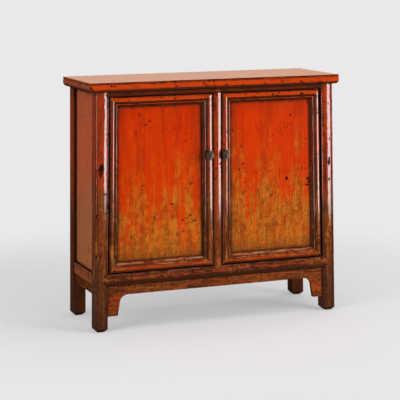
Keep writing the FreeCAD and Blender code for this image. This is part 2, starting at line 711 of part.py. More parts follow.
def post(name, side, row):
    def at(inward, depth):
        return f"{side} * ({outer('0')} - ({inward}))", f"{row} * (back - ({depth}))"
    corner = "edge_round * corner_share"
    rear = [at("0", "post_side - edge_round"),
            at(corner, f"post_side - {corner}") + at("edge_round", "post_side")]
    if row < 0:
        face = [at("post_side", "post_side"), at("post_side", "post_bead_back"),
                at("post_side - post_bead * 0.33", "post_bead_crest")
                + at("post_side - post_bead", "post_quirk"),
                at("post_side / 2", "0") + at("post_bead", "post_quirk"),
                at("post_bead * 0.33", "post_bead_crest") + at("0", "post_bead_back")]
    else:
        face = [at("post_side", "post_side"), at("post_side", "0"), at("edge_round", "0"),
                at(corner, corner) + at("0", "edge_round")]
    shaft = prism(name + "_shaft", "flat", face + rear, "0", "post_height", f"{-side} * lean")
    worn = [(f"{side} * ({inner('0')} + foot_wear)", "0"),
            (f"{side} * ({outer('0')} - foot_wear)", "0"),
            (f"{side} * ({outer('foot_wear')})", "foot_wear"),
            (f"{side} * ({outer('0')} + overrun)", "post_height"),
            (f"{side} * ({inner('post_height')} - overrun)", "post_height"),
            (f"{side} * ({inner('foot_wear')} - joint_fit)", "foot_wear")]
    trim_x = prism(name + "_trim_x", "front", worn, *deep(row, "-overrun", "post_side + overrun"))
    worn = [(f"{row} * (back - post_side + foot_wear)", "0"), (f"{row} * (back - foot_wear)", "0"),
            (f"{row} * back", "foot_wear"), (f"{row} * (back + overrun)", "post_height"),
            (f"{row} * (back - post_side - overrun)", "post_height"),
            (f"{row} * (back - post_side)", "foot_wear")]
    trim_y = prism(name + "_trim_y", "side", worn, *across(side, "0", "foot_spread / 2 + overrun"))
    shaft = common(name + "_worn", [shaft, trim_x, trim_y])
    middle = f"{side} * ({outer('post_height')} - post_side / 2)"
    half_side = "head_tenon_side / 2"
    x = (f"{middle} - {half_side}", f"{middle} + {half_side}")
    y = (f"{row} * (back - post_side / 2) - {half_side}", f"{row} * (back - post_side / 2) + {half_side}")
    z = ("post_height - edge_round", "post_height + head_tenon_height")
    socket_z = ("post_height - overrun", f"{z[1]} + joint_fit")
    hollow(TOP_MEMBERS, block(name + "_socket", loose(x), loose(y), socket_z))
    return fuse(name + "_tenoned", [shaft, block(name + "_head", x, y, z)])


posts = {}
for row_word, row in (("front", -1), ("back", 1)):
    for word, side in SIDES:
        name = f"post_{row_word}_{word}"
        posts[name] = post(name, side, row)


# Doors. Distances are taken from the middle plane, so that one description serves both doors.

def hinge_edge(height):
    return f"({inner(height)} - door_gap)"


def hinge_inner(height):
    return f"({hinge_edge(height)} - stile_width)"


def member_section(at, width, edge_round, edge_fall, thickness="door_thickness"):
    """A door frame member's section: rolled edge, crown, quirk, bead and a slope to the panel."""
    steepness = f"(({edge_fall}) / ({edge_round}))"
    spread = f"sqrt(1 + {steepness} * {steepness})"
    crown_end = f"(({width}) - moulding_width)"
    bead_start = f"({crown_end} + frame_quirk - crown_fall)"
    bead_end = f"({bead_start} + frame_bead)"
    return [at("0", thickness), at("0", edge_fall),
            at(f"({edge_round}) * (1 - {spread} / 2)",
               f"({edge_round}) * {spread} * ({spread} - 1) / (2 * {steepness})") + at(edge_round, "0"),
            at(f"(({edge_round}) + {crown_end}) / 2", "crown_fall * 0.2") + at(crown_end, "crown_fall"),
            at(bead_start, "frame_quirk"),
            at(f"({bead_start} + {bead_end}) / 2", "frame_bead_crest") + at(bead_end, "frame_quirk"),
            at(f"{bead_end} + frame_slope * 0.4", "frame_quirk + (frame_slope_depth - frame_quirk) * 0.55")
            + at(width, "frame_slope_depth"),
            at(width, thickness)]


def door(word, side, knob_offset):
    """Make one door's pieces."""
    name = "door_" + word
    stiles = [f"{name}_hinge_stile", f"{name}_lock_stile"]
    rails = [f"{name}_top_rail", f"{name}_bottom_rail"]

    def hinge_at(inward, depth):
        return f"{side} * ({hinge_edge('door_bottom')} - ({inward}))", f"door_front + ({depth})"

    def lock_at(inward, depth):
        return f"{side} * (lock_edge + ({inward}))", f"door_front + ({depth})"

    def top_at(inward, depth):
        return f"door_front + ({depth})", f"door_top - ({inward})"

    def bottom_at(inward, depth):
        return f"door_front + ({depth})", f"door_bottom + ({inward})"

    solids = {}
    ends = {"top": ("door_top", "panel_top", top_at, -1),
            "bottom": ("door_bottom", "panel_bottom", bottom_at, 1)}
    joints = []
    for end, (edge, shoulder, at, up) in ends.items():
        section = member_section(at, "door_rail_width", "lock_round", "lock_fall")
        bar = prism(f"{name}_{end}_rail_bar", "side", section, *across(side, "lock_edge", "foot_spread / 2"))
        mitre = [(f"{side} * lock_inner", shoulder), (f"{side} * {hinge_inner(shoulder)}", shoulder),
                 (f"{side} * ({hinge_inner(edge)} + door_rail_width)", edge),
                 (f"{side} * (lock_inner - door_rail_width)", edge)]
        wedge = prism(f"{name}_{end}_rail_mitre", "front", mitre,
                      "door_front - overrun", "door_back + overrun")
        solids[end] = common(f"{name}_{end}_rail_member", [bar, wedge])
        joints.append(wedge)
        z = sorted((f"({shoulder}) - ({up}) * door_tenon_edge", f"({edge}) + ({up}) * door_tenon_edge / 2"),
                   key=measure)
        x = across(side, "lock_edge + door_tenon_edge",
                   f"{hinge_edge('door_top')} - stile_round - pintle_radius * 1.5")
        y = ("door_front + door_panel_recess - door_tenon_thickness / 2",
             "door_front + door_panel_recess + door_tenon_thickness / 2")
        tenon = block(f"{name}_{end}_tenon", x, y, z)
        solids[end] = fuse(f"{name}_{end}_rail_tenoned", [solids[end], tenon])
        hollow(stiles, block(f"{name}_{end}_mortise", loose(x), loose(y), loose(z)))

    section = member_section(hinge_at, "stile_width", "stile_round", "stile_round")
    stile = prism(f"{name}_hinge_stile_bar", "flat", section, "door_bottom", "door_top", f"{-side} * lean")
    stile = cut(f"{name}_hinge_stile_mitred", stile, joints)
    foot = "door_bottom - pintle_foot"
    pivot = (f"{side} * ({hinge_edge(foot)} - stile_round)", "axis_depth", foot)
    turned = FreeCAD.Vector(0, -side, 0)
    along = "sqrt(1 + lean * lean)"
    length = f"(door_top - door_bottom + pintle_foot + pintle_head) * {along}"
    pintle = rod(f"{name}_pintle", "pintle_radius", length, pivot, turned, "atan(lean)")
    solids["hinge"] = fuse(f"{name}_hinge_stile_whole", [stile, pintle])
    foot = "door_bottom - pintle_foot - pintle_seat"
    seat = (f"{side} * ({hinge_edge(foot)} - stile_round)", "axis_depth", foot)
    length = f"(door_top - ({foot}) + pintle_head + socket_head_room) * {along}"
    socket = rod(f"{name}_socket", "pintle_radius + bore_fit", length, seat, turned, "atan(lean)")
    hollow(["base_rail_front", "head_rail_front"] + rails, socket)

    section = member_section(lock_at, "stile_width", "lock_round", "lock_fall")
    stile = prism(f"{name}_lock_stile_bar", "flat", section, "door_bottom", "door_top")
    solids["lock"] = cut(f"{name}_lock_stile_mitred", stile, joints)

    def near(height):
        return "lock_inner - door_tongue"

    def far(height):
        return f"{hinge_inner(height)} + door_tongue"

    outline = slab(side, "panel_bottom - door_tongue", "panel_top + door_tongue", near, far)
    panel = prism(f"{name}_panel_board", "front", outline, "door_panel_front", "door_panel_back")

    def near_loose(height):
        return "lock_inner - door_tongue - joint_fit"

    def far_loose(height):
        return f"{hinge_inner(height)} + door_tongue + joint_fit"

    outline = slab(side, "panel_bottom - door_tongue - joint_fit", "panel_top + door_tongue + joint_fit",
                   near_loose, far_loose)
    hollow(stiles + rails, prism(f"{name}_panel_groove", "front", outline,
                                 "door_panel_front - joint_fit", "door_panel_back + joint_fit"))

    for place, share in (("lower", 0.28), ("upper", 0.72)):
        middle = f"(panel_bottom + (panel_top - panel_bottom) * {share})"
        outline = slab(side, f"{middle} - door_batten_height / 2", f"{middle} + door_batten_height / 2",
                       lambda height: "lock_inner", hinge_inner)
        batten = prism(f"{name}_{place}_batten_bar", "front", outline,
                       "door_panel_back", "door_panel_back + door_batten_thickness")
        piece(f"{name}_{place}_batten", batten)

    iron = knob(name, side, knob_offset)
    finish(stiles[0], solids["hinge"])
    finish(stiles[1], solids["lock"])
    finish(rails[0], solids["top"])
    finish(rails[1], solids["bottom"])
    finish(f"{name}_panel", panel)
    for label, solid in iron.items():
        finish(label, solid)


def knob(name, side, offset):
    """An iron knob: a plate let into the lock stile, a faceted head on a neck, and a washer inside."""
    middle = f"{side} * {offset}"
    plate_back = "door_front + knob_plate_let_in"
    plate_front = f"{plate_back} - knob_plate_thickness"

    def plate_outline(gap):
        half_width = f"(knob_plate_width / 2 + ({gap}))"
        half_length = f"(knob_plate_length / 2 + ({gap}))"

        def at(wide, long):
            return f"{middle} + {half_width} * ({wide})", f"knob_height + {half_length} * ({long})"
        return [at("-0.62", "0.6") + at("0", "1"), at("0.62", "0.6") + at("1", "0"),
                at("0.62", "-0.6") + at("0", "-1"), at("-0.62", "-0.6") + at("-1", "0")]

    plate = prism(f"{name}_knob_plate_iron", "front", plate_outline("0"), plate_front, plate_back)
    hollow([f"{name}_lock_stile"], prism(f"{name}_knob_plate_seat", "front", plate_outline("joint_fit"),
                                         "door_front - overrun", plate_back))

    # The head is eight-sided from the front view: two pyramids base to base, with a blunt nose.
    waist = f"{plate_front} - knob_neck - knob_depth / 2"

    def lozenge(share):
        def at(wide, long):
            return f"({wide}) / 2 * {share}", f"({long}) / 2 * {share}"
        return [at("-knob_width", "knob_flat"), at("-knob_flat", "knob_length"),
                at("knob_flat", "knob_length"), at("knob_width", "knob_flat"),
                at("knob_width", "-knob_flat"), at("knob_flat", "-knob_length"),
                at("-knob_flat", "-knob_length"), at("-knob_width", "-knob_flat")]

    body = document.addObject("PartDesign::Body", f"{name}_knob_head")
    base = [feature for feature in body.Origin.OriginFeatures if feature.Role == "XZ_Plane"][0]
    profiles = []
    for number, (share, level) in enumerate(((0.42, f"{plate_front} - knob_neck"), (1, waist),
                                             (0.3, f"{plate_front} - knob_neck - knob_depth"))):
        sketch = body.newObject("Sketcher::SketchObject", f"{name}_knob_ring_{number}")
        sketch.AttachmentSupport = [(base, "")]
        sketch.MapMode = "FlatFace"
        sketch.setExpression("AttachmentOffset.Base.z", formula(f"-({level})"))
        draw(sketch, lozenge(share))
        profiles.append(sketch)
    loft = body.newObject("PartDesign::AdditiveLoft", f"{name}_knob_loft")
    loft.Profile = profiles[0]
    loft.Sections = profiles[1:]
    loft.Ruled = True
    body.Placement = FreeCAD.Placement(FreeCAD.Vector(), FreeCAD.Rotation(FreeCAD.Vector(0, 1, 0), 1))
    body.setExpression("Placement.Base.x", formula(middle))
    body.setExpression("Placement.Base.z", formula("knob_height"))
    body.setExpression("Placement.Rotation.Angle", formula("knob_tilt"))
    turned = FreeCAD.Vector(1, 0, 0)
    neck = rod(f"{name}_knob_neck", "knob_neck_radius", "knob_neck + knob_depth / 4",
               (middle, plate_front, "knob_height"), turned, "90")
    tail = "door_back + washer_thickness * 2"
    length = f"({tail}) - ({plate_front}) + knob_neck"
    shank = rod(f"{name}_knob_shank", "knob_shank_radius", length,
                (middle, tail, "knob_height"), turned, "90")
    bore = rod(f"{name}_knob_bore", "knob_shank_radius + joint_fit", length,
               (middle, f"{tail} + knob_neck", "knob_height"), turned, "90")
    hollow([f"{name}_lock_stile", f"{name}_knob_plate", f"{name}_knob_washer"], bore)
    washer = rod(f"{name}_washer_disc", "washer_radius", "washer_thickness",
                 (middle, "door_back + washer_thickness", "knob_height"), turned, "90")
    return {f"{name}_knob_plate": plate, f"{name}_knob": fuse(f"{name}_knob_whole", [body, neck, shank]),
            f"{name}_knob_washer": washer}


door("left", -1, "left_knob_offset")
door("right", 1, "right_knob_offset")

for group in (posts, top_members, sides, aprons, back_panels, bearers, battens):
    for name, solid in group.items():
        finish(name, solid)
for name, solid in (("head_rail_front", head_rail_front), ("base_rail_front", base_rail_front),
                    ("head_rail_back", head_rail_back), ("base_rail_back", base_rail_back),
                    ("center_post", center_post), ("back_mullion", back_mullion),
                    ("floor_panel", floor_panel), ("shelf", shelf), ("top_panel", top_panel)):
    finish(name, solid)

document.recompute()
for item in document.Objects:
    if "Invalid" in item.State or "Error" in item.State:
        raise RuntimeError(f"{item.Name} failed: {item.State}")
for item in pieces:
    if item.Shape.isNull() or not item.Shape.isValid() or not item.Shape.Solids:
        raise RuntimeError(f"{item.Label} has no valid solid")
    item.Shape.exportStep(f"parts/{item.Label}.step")
    print(f"{item.Label:34s} {len(item.Shape.Solids)} solid, {item.Shape.Volume / 1000:9.2f} cm3")
print(f"{len(pieces)} pieces")
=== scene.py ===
# %% [markdown]
# # A kang cabinet in worn red lacquer
#
# The cabinet is a low cupboard with two doors. Its posts lean in towards the top, its top is a mitred
# frame round a flush panel, and its doors turn on wooden pintles. All its timbers are cut and jointed
# in the CAD model, which is loaded here as a fixed frame. This lesson gives them the things that a
# drawing leaves out: edges rubbed round by hands, old lacquer that has worn through to ochre ground
# and bare wood, dark glaze that has settled in the hollows, and hand-forged iron.

import json
import math

import bpy
from mathutils import Matrix, Vector

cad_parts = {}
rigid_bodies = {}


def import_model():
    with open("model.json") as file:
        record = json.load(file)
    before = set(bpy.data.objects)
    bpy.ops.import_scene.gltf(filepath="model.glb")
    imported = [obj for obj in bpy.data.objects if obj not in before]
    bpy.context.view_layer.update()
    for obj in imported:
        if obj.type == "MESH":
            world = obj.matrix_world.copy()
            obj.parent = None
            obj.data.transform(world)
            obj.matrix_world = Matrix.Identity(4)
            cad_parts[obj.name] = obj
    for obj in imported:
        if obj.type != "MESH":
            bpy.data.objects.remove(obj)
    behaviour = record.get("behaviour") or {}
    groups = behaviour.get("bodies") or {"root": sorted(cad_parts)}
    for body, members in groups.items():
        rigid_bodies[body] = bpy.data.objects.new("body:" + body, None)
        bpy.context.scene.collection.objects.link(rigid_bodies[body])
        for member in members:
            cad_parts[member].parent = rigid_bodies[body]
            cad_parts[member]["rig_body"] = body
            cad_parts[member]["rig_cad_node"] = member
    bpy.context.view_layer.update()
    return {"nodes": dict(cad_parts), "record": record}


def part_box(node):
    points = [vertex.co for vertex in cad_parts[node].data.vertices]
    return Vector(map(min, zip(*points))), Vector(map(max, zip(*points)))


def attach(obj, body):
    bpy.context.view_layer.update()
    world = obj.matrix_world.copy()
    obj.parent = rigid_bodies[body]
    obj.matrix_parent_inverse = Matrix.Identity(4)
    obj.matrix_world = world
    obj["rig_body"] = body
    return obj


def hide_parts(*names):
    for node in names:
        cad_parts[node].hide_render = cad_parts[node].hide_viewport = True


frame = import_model()
nodes = frame["nodes"]
bpy.ops.object.select_all(action="DESELECT")

# %% [markdown]
# ## The view
#
# The camera stands to the left of the doors, a little above the top, and looks down at the cabinet.
# It could be placed by eye and nudged until the outlines agree, but small errors would stay. So its
# place was worked out from the corners of the cabinet in the photograph: their positions in the
# picture fix the distance, the height and the focal length together. The lens is long, so the
# uprights hardly converge.

# %% Camera
# Metres, radians and millimetres
CAMERA_PLACE = (-1.9508, -5.0592, 1.3221)
CAMERA_YAW = 0.3666
CAMERA_DOWN = 0.1629
CAMERA_ROLL = -0.0067
CAMERA_REACH = 50
LENS_MM = 131.33
SENSOR_MM = 36

camera_data = bpy.data.cameras.new("view")
camera_data.sensor_fit = "HORIZONTAL"
camera_data.sensor_width = SENSOR_MM
camera_data.lens = LENS_MM
camera_data.clip_end = CAMERA_REACH
camera = bpy.data.objects.new("view", camera_data)
bpy.context.collection.objects.link(camera)
turn = Matrix.Rotation(-CAMERA_YAW, 4, "Z")
tilt = Matrix.Rotation(math.pi / 2 - CAMERA_DOWN, 4, "X")
roll = Matrix.Rotation(CAMERA_ROLL, 4, "Z")
camera.matrix_world = Matrix.Translation(CAMERA_PLACE) @ turn @ tilt @ roll
bpy.context.scene.camera = camera
bpy.context.scene.view_settings.view_transform = "Standard"
print("camera", round(Vector(CAMERA_PLACE).length, 2), "m from the foot of the cabinet")

# %% [markdown]
# ## The studio
#
# The cabinet stands on a pale paper sweep, and its shadow lies softly between its feet. Paper that is
# only lit is hard to keep even, because every lamp leaves a pool on it. So what the camera sees of it
# is part lit paper, which takes the shadow, and part plain colour, which keeps it level with the
# background. Reflections see the same mixture. First come helpers that make nodes and join them,
# because the same few lines would come back a hundred times. The last one tells apart the rays that
# the camera sees and the rays that only light the scene.

# %% Nodes and rays


def new_material(name):
    """A material with an empty node tree and its output."""
    material = bpy.data.materials.new(name)
    material.use_nodes = True
    material.node_tree.nodes.clear()
    output = material.node_tree.nodes.new("ShaderNodeOutputMaterial")
    return material, material.node_tree.nodes, material.node_tree.links, output


def new_node(made, kind, **values):
    """A node with values for some of its inputs. In their names an underscore stands for a space."""
    node = made.new("ShaderNode" + kind)
    for name, value in values.items():
        node.inputs[name.replace("_", " ")].default_value = value
    return node


def put(link, value, socket):
    """Set a socket's value, or link it to another socket."""
    if isinstance(value, bpy.types.NodeSocket):
        link.new(value, socket)
    else:
        socket.default_value = value


def calculate(made, link, operation, first, second):
    """One step of arithmetic on numbers or sockets."""
    node = new_node(made, "Math")
    node.operation = operation
    put(link, first, node.inputs[0])
    put(link, second, node.inputs[1])
    return node.outputs["Value"]


def mixed(made, link, factor, below, above):
    """Two shaders mixed by a factor."""
    mix = new_node(made, "MixShader")
    link.new(factor, mix.inputs["Fac"])
    link.new(below, mix.inputs[1])
    link.new(above, mix.inputs[2])
    return mix.outputs["Shader"]


def kinds_of_ray(made, link):
    """Masks for the rays that the camera sends, the mirrored ones, and both together."""
    path = new_node(made, "LightPath")
    direct = path.outputs["Is Camera Ray"]
    mirrored = calculate(made, link, "MAXIMUM", path.outputs["Is Glossy Ray"],
                         path.outputs["Is Transmission Ray"])
    return {"direct": direct, "mirrored": mirrored,
            "seen": calculate(made, link, "MAXIMUM", direct, mirrored)}


print("helpers for nodes and rays are ready")

# %% [markdown]
# ## The floor
#
# A round sheet of paper, which fades into the background before its rim shows. A square one would
# show its corners in a low view. Two mixes bring together a diffuse shader for the paper, an
# emission for the plain colour and a transparent shader for the fade.

# %% Floor
PAPER = (0.80, 0.795, 0.80, 1)
BACKGROUND = (0.826, 0.812, 0.818, 1)
PLAIN_SHARE = 0.44
FLOOR_RADIUS = 3.2
FLOOR_SIDES = 96
FADE_START = 0.95
FADE_END = 2.0

bpy.ops.mesh.primitive_circle_add(vertices=FLOOR_SIDES, radius=FLOOR_RADIUS, fill_type="NGON",
                                  location=(0, 0, 0))
floor = bpy.context.object
floor.name = "floor"
floor_material, made, link, output = new_material("floor_paper")
paper = new_node(made, "BsdfDiffuse", Color=PAPER)
plain = new_node(made, "Emission", Color=BACKGROUND)
clear = new_node(made, "BsdfTransparent")
share = calculate(made, link, "MULTIPLY", kinds_of_ray(made, link)["seen"], PLAIN_SHARE)
sweep = mixed(made, link, share, paper.outputs["BSDF"], plain.outputs["Emission"])
place = new_node(made, "TexCoord")
distance = new_node(made, "VectorMath")
distance.operation = "LENGTH"
link.new(place.outputs["Object"], distance.inputs[0])
fade = new_node(made, "MapRange", From_Min=FADE_START, From_Max=FADE_END)
fade.interpolation_type = "SMOOTHSTEP"
link.new(distance.outputs["Value"], fade.inputs["Value"])
faded = mixed(made, link, fade.outputs["Result"], sweep, clear.outputs["BSDF"])
link.new(faded, output.inputs["Surface"])
floor.data.materials.append(floor_material)
print("floor", FLOOR_RADIUS, "m in radius, fading into the background from", FADE_START, "m")

# %% [markdown]
# ## The room in the reflections
#
# Old lacquer is a poor mirror, but at a slant it still shows the room. The pale backdrop stands
# behind the cabinet and to its right, where the camera looks, and gives the top its milky sheen. The
# rest of the room is dim, so the doors and the left side keep their full colour. A picture of a
# studio could stand round the scene, but a few nodes are enough here: the world's glow depends on
# how far a direction is turned from the middle of the backdrop.

# %% World
DIM_ROOM = 0.07
BACKDROP_GLOW = 0.80
BACKDROP_TURN = CAMERA_YAW + 0.15
GLOW_STARTS = 0.72  # the cosine of the angle from the middle of the backdrop
GLOW_IS_FULL = 0.93
FILL_COLOUR = (0.97, 0.98, 1.0, 1)
FILL_STRENGTH = 0.30

world = bpy.data.worlds.new("studio")
bpy.context.scene.world = world
world.use_nodes = True
made = world.node_tree.nodes
link = world.node_tree.links
made.clear()
output = new_node(made, "OutputWorld")
backdrop = new_node(made, "Background", Color=BACKGROUND, Strength=1)
room = new_node(made, "Background", Strength=1)
fill = new_node(made, "Background", Color=FILL_COLOUR, Strength=FILL_STRENGTH)
direction = new_node(made, "TexCoord")
towards_backdrop = new_node(made, "VectorMath")
towards_backdrop.operation = "DOT_PRODUCT"
towards_backdrop.inputs[1].default_value = (math.sin(BACKDROP_TURN), math.cos(BACKDROP_TURN), 0)
link.new(direction.outputs["Generated"], towards_backdrop.inputs[0])
glow = new_node(made, "MapRange", From_Min=GLOW_STARTS, From_Max=GLOW_IS_FULL, To_Min=DIM_ROOM,
                To_Max=BACKDROP_GLOW)
glow.interpolation_type = "SMOOTHSTEP"
link.new(towards_backdrop.outputs["Value"], glow.inputs["Value"])
link.new(glow.outputs["Result"], room.inputs["Color"])
rays = kinds_of_ray(made, link)
reflected = mixed(made, link, rays["mirrored"], fill.outputs["Background"], room.outputs["Background"])
final = mixed(made, link, rays["direct"], reflected, backdrop.outputs["Background"])
link.new(final, output.inputs["Surface"])
print("world: pale backdrop behind, dim room in front, fill", FILL_STRENGTH)

# %% [markdown]
# ## The lamps
#
# A tall strip light stands to the right of the cabinet, half way round to the front. On a flat board
# its reflection misses the camera, but on every rounded upright there is one slope that turns it
# into the lens, and that draws the sharp pale lines down the posts and the door stiles. The lines
# could be painted into the material, but then they would stay put when the view or a door turns. A
# low softbox behind on the right makes the right post glow at its edge. A large one overhead lights
# the top and puts the shadow under the cabinet, and a weak one on the left lifts the side.

# %% Lights
LAMPS = {
    # lamp: its place, the point that it faces, its width and height, its power in watts and its colour
    "strip_right": ((4.1, -4.35, 1.2), (0, -0.15, 1.2), 2.5, 3.6, 325, (0.99, 0.98, 0.97)),
    "glow_right": ((3.4, 1.5, 1.1), (0.2, 0, 0.6), 1.4, 2.2, 22, (1, 0.97, 0.97)),
    "overhead": ((0.25, -0.35, 3.0), (0.1, -0.1, 0.9), 2.6, 2.2, 40, (1, 1, 1)),
    "left_fill": ((-3.0, -1.3, 1.5), (-0.45, 0, 0.5), 1.8, 1.8, 40, (1, 1, 1)),
}

for name, (stand, aim, width, height, power, colour) in LAMPS.items():
    light = bpy.data.lights.new(name, "AREA")
    light.shape = "RECTANGLE"
    light.size = width
    light.size_y = height
    light.energy = power
    light.color = colour
    lamp = bpy.data.objects.new(name, light)
    bpy.context.collection.objects.link(lamp)
    lamp.location = stand
    lamp.rotation_euler = (Vector(aim) - Vector(stand)).to_track_quat("-Z", "Y").to_euler()
print("lamps:", ", ".join(LAMPS))

# %% [markdown]
# ## Rubbed edges
#
# No edge on an old cabinet is sharp. The edges could be rounded in the CAD model, but hundreds of
# tiny fillets are slow there and fail at the mitres, and a trick in the material would leave the
# outlines sharp. So each timber is copied from its CAD node, its loose triangles are merged back
# into whole faces, and a narrow bevel rolls its edges over. The bevel catches the light, and it
# shows a dark line where two timbers meet. Weighted normals keep the broad faces flat, so that only
# the bevels bend the reflections. Iron gets a narrower bevel, and the facets of a knob don't blend.
# The shape stays the CAD model's own, so the copy stands for the node.

# %% Worn timbers
# The width of the bevel, and the angle below which two faces blend into one
WOOD_EDGE = (0.0009, math.radians(34))
IRON_EDGE = (0.0004, math.radians(15))
EDGE_SEGMENTS = 3
BEVEL_FROM = math.radians(35)
SAME_POINT = 0.00001
SAME_FACE = math.radians(0.5)

slot_of = {part["node"]: part["material_slot"] for part in frame["record"]["subparts"]}
body_of = {name: body for body, members in frame["record"]["behaviour"]["bodies"].items()
           for name in members}


def worn_copy(name, width, blends_below):
    """A copy of a piece with its edges rubbed round, which stands for the piece."""
    source = nodes[name]
    bpy.ops.object.select_all(action="DESELECT")
    copy = source.copy()
    copy.data = source.data.copy()
    copy.name = name + "_worn"
    copy.parent = None
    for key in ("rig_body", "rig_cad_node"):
        if key in copy:
            del copy[key]
    bpy.context.collection.objects.link(copy)
    copy.select_set(True)
    bpy.context.view_layer.objects.active = copy
    copy.data.materials.clear()
    bpy.ops.object.mode_set(mode="EDIT")
    bpy.ops.mesh.select_all(action="SELECT")
    bpy.ops.mesh.remove_doubles(threshold=SAME_POINT)
    bpy.ops.mesh.dissolve_limited(angle_limit=SAME_FACE)
    bpy.ops.object.mode_set(mode="OBJECT")
    bevel = copy.modifiers.new("rubbed", "BEVEL")
    bevel.width = width
    bevel.segments = EDGE_SEGMENTS
    bevel.limit_method = "ANGLE"
    bevel.angle_limit = BEVEL_FROM
    bevel.use_clamp_overlap = True
    bpy.ops.object.modifier_apply(modifier=bevel.name)
    bpy.ops.object.shade_smooth_by_angle(angle=blends_below)
    weighted = copy.modifiers.new("flat_faces_first", "WEIGHTED_NORMAL")
    weighted.keep_sharp = True
    bpy.ops.object.modifier_apply(modifier=weighted.name)
    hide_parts(name)
    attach(copy, body_of[name])
    copy.select_set(False)
    return copy


worn = {name: worn_copy(name, *(IRON_EDGE if "knob" in name else WOOD_EDGE))
        for name in sorted(nodes)}
faces = sum(len(piece.data.polygons) for piece in worn.values())
print("rubbed the edges of", len(worn), "pieces, which have", faces, "faces now")

# %% [markdown]
# ## How the old lacquer is built up
#
# The real finish is in layers: bare wood, a yellow ochre ground, red lacquer, and a brown glaze wiped
# over it all. Wear takes them off again in the opposite order, first on edges and where hands and
# feet rub. A photograph of old wood could be wrapped round each timber, but it would stretch and
# show its seams. So the material follows the layers: a recipe starts with one tone and lays the
# others over it, each through a mask. This first helper does the arithmetic. It reads object
# coordinates and normals, so every pattern stays on its timber when a door swings.

# %% A kit for recipes


class Recipe:
    """The nodes of one finish. A value may be a number, a colour, a socket or a pattern's name."""

    def __init__(self, name):
        self.material, self.made, self.links, self.output = new_material(name)
        coordinates = new_node(self.made, "TexCoord")
        self.place = coordinates.outputs["Object"]
        facing = coordinates.outputs["Normal"]
        self.pattern = {
            "across": self.part_of(self.place, "X"),
            "height": self.part_of(self.place, "Z"),
            "rightward": self.part_of(facing, "X"),
            "upward": self.part_of(facing, "Z"),
            "forward": self.times(self.part_of(facing, "Y"), -1),
        }
        self.colour = None

    def found(self, value):
        """The pattern that a word names, or else the value itself."""
        return self.pattern[value] if isinstance(value, str) else value

    def part_of(self, vector, axis):
        """One axis of a vector."""
        axes = new_node(self.made, "SeparateXYZ")
        self.links.new(vector, axes.inputs["Vector"])
        return axes.outputs[axis]

    def put(self, value, socket):
        """Set or link a socket."""
        put(self.links, self.found(value), socket)

    def work(self, operation, first, second=0.0):
        """One step of arithmetic."""
        return calculate(self.made, self.links, operation, self.found(first), self.found(second))

    def add(self, *values):
        """The sum of the values."""
        total = values[0]
        for value in values[1:]:
            total = self.work("ADD", total, value)
        return total

    def times(self, *values):
        """The product of the values. For masks this means: where all of them are."""
        product = values[0]
        for value in values[1:]:
            product = self.work("MULTIPLY", product, value)
        return product

    def sway(self, value, reach):
        """A pattern as a push both ways, over the given reach. It makes a straight border ragged."""
        return self.times(self.add(value, -0.5), reach)

    def step(self, value, low, high):
        """A soft step: 0 up to the first value and 1 from the second, which may be the smaller one."""
        falling = low > high
        node = new_node(self.made, "MapRange", From_Min=min(low, high), From_Max=max(low, high),
                        To_Min=1 if falling else 0, To_Max=0 if falling else 1)
        node.interpolation_type = "SMOOTHSTEP"
        self.put(value, node.inputs["Value"])
        return node.outputs["Result"]

    def blend(self, factor, below, above):
        """Two colours mixed by a factor."""
        node = new_node(self.made, "Mix")
        node.data_type = "RGBA"
        self.put(factor, node.inputs["Factor"])
        sockets = [socket for socket in node.inputs if socket.type == "RGBA"]
        self.put(below, sockets[0])
        self.put(above, sockets[1])
        return [socket for socket in node.outputs if socket.type == "RGBA"][0]

    def over(self, base, tone, share, *masks):
        """A tone over a base colour: where all the masks are, and no thicker than the share."""
        return self.blend(self.times(*masks, share), base, tone)

    def lay(self, tone, share, *masks):
        """Lay a tone over the finish so far."""
        self.colour = self.over(self.colour, tone, share, *masks)


print("a recipe can add, multiply, step, blend and lay one tone over another")

# %% [markdown]
# ## Where wear, dirt and painted shade go
#
# Streaks, chips and stains are noise: stretched along the grain it gives streaks, and cut off at a
# threshold it gives chips. Dirt and shade aren't random, though. On the real cabinet dirt sits in
# hollows, shade falls there too, and wear sits on corners. All of them could be painted by hand, timber
# by timber. Ambient occlusion measures them instead: seen from outside it tells how closed in a point
# is, and the darkening laid through it is painted shade as well as dirt; seen from inside it tells how
# near a corner is. A knock that the eye remembers is placed from a list, as a small ragged ellipse.

# %% Patterns, hollows, edges and knocks
OCCLUSION_SAMPLES = 8
NOISE_SHIFT = (1, 1.7, 0.6)
KNOCK_RAGGED = 4.0
KNOCK_OUTLINE = (1.2, 0.7)
COAT_IOR = 1.7


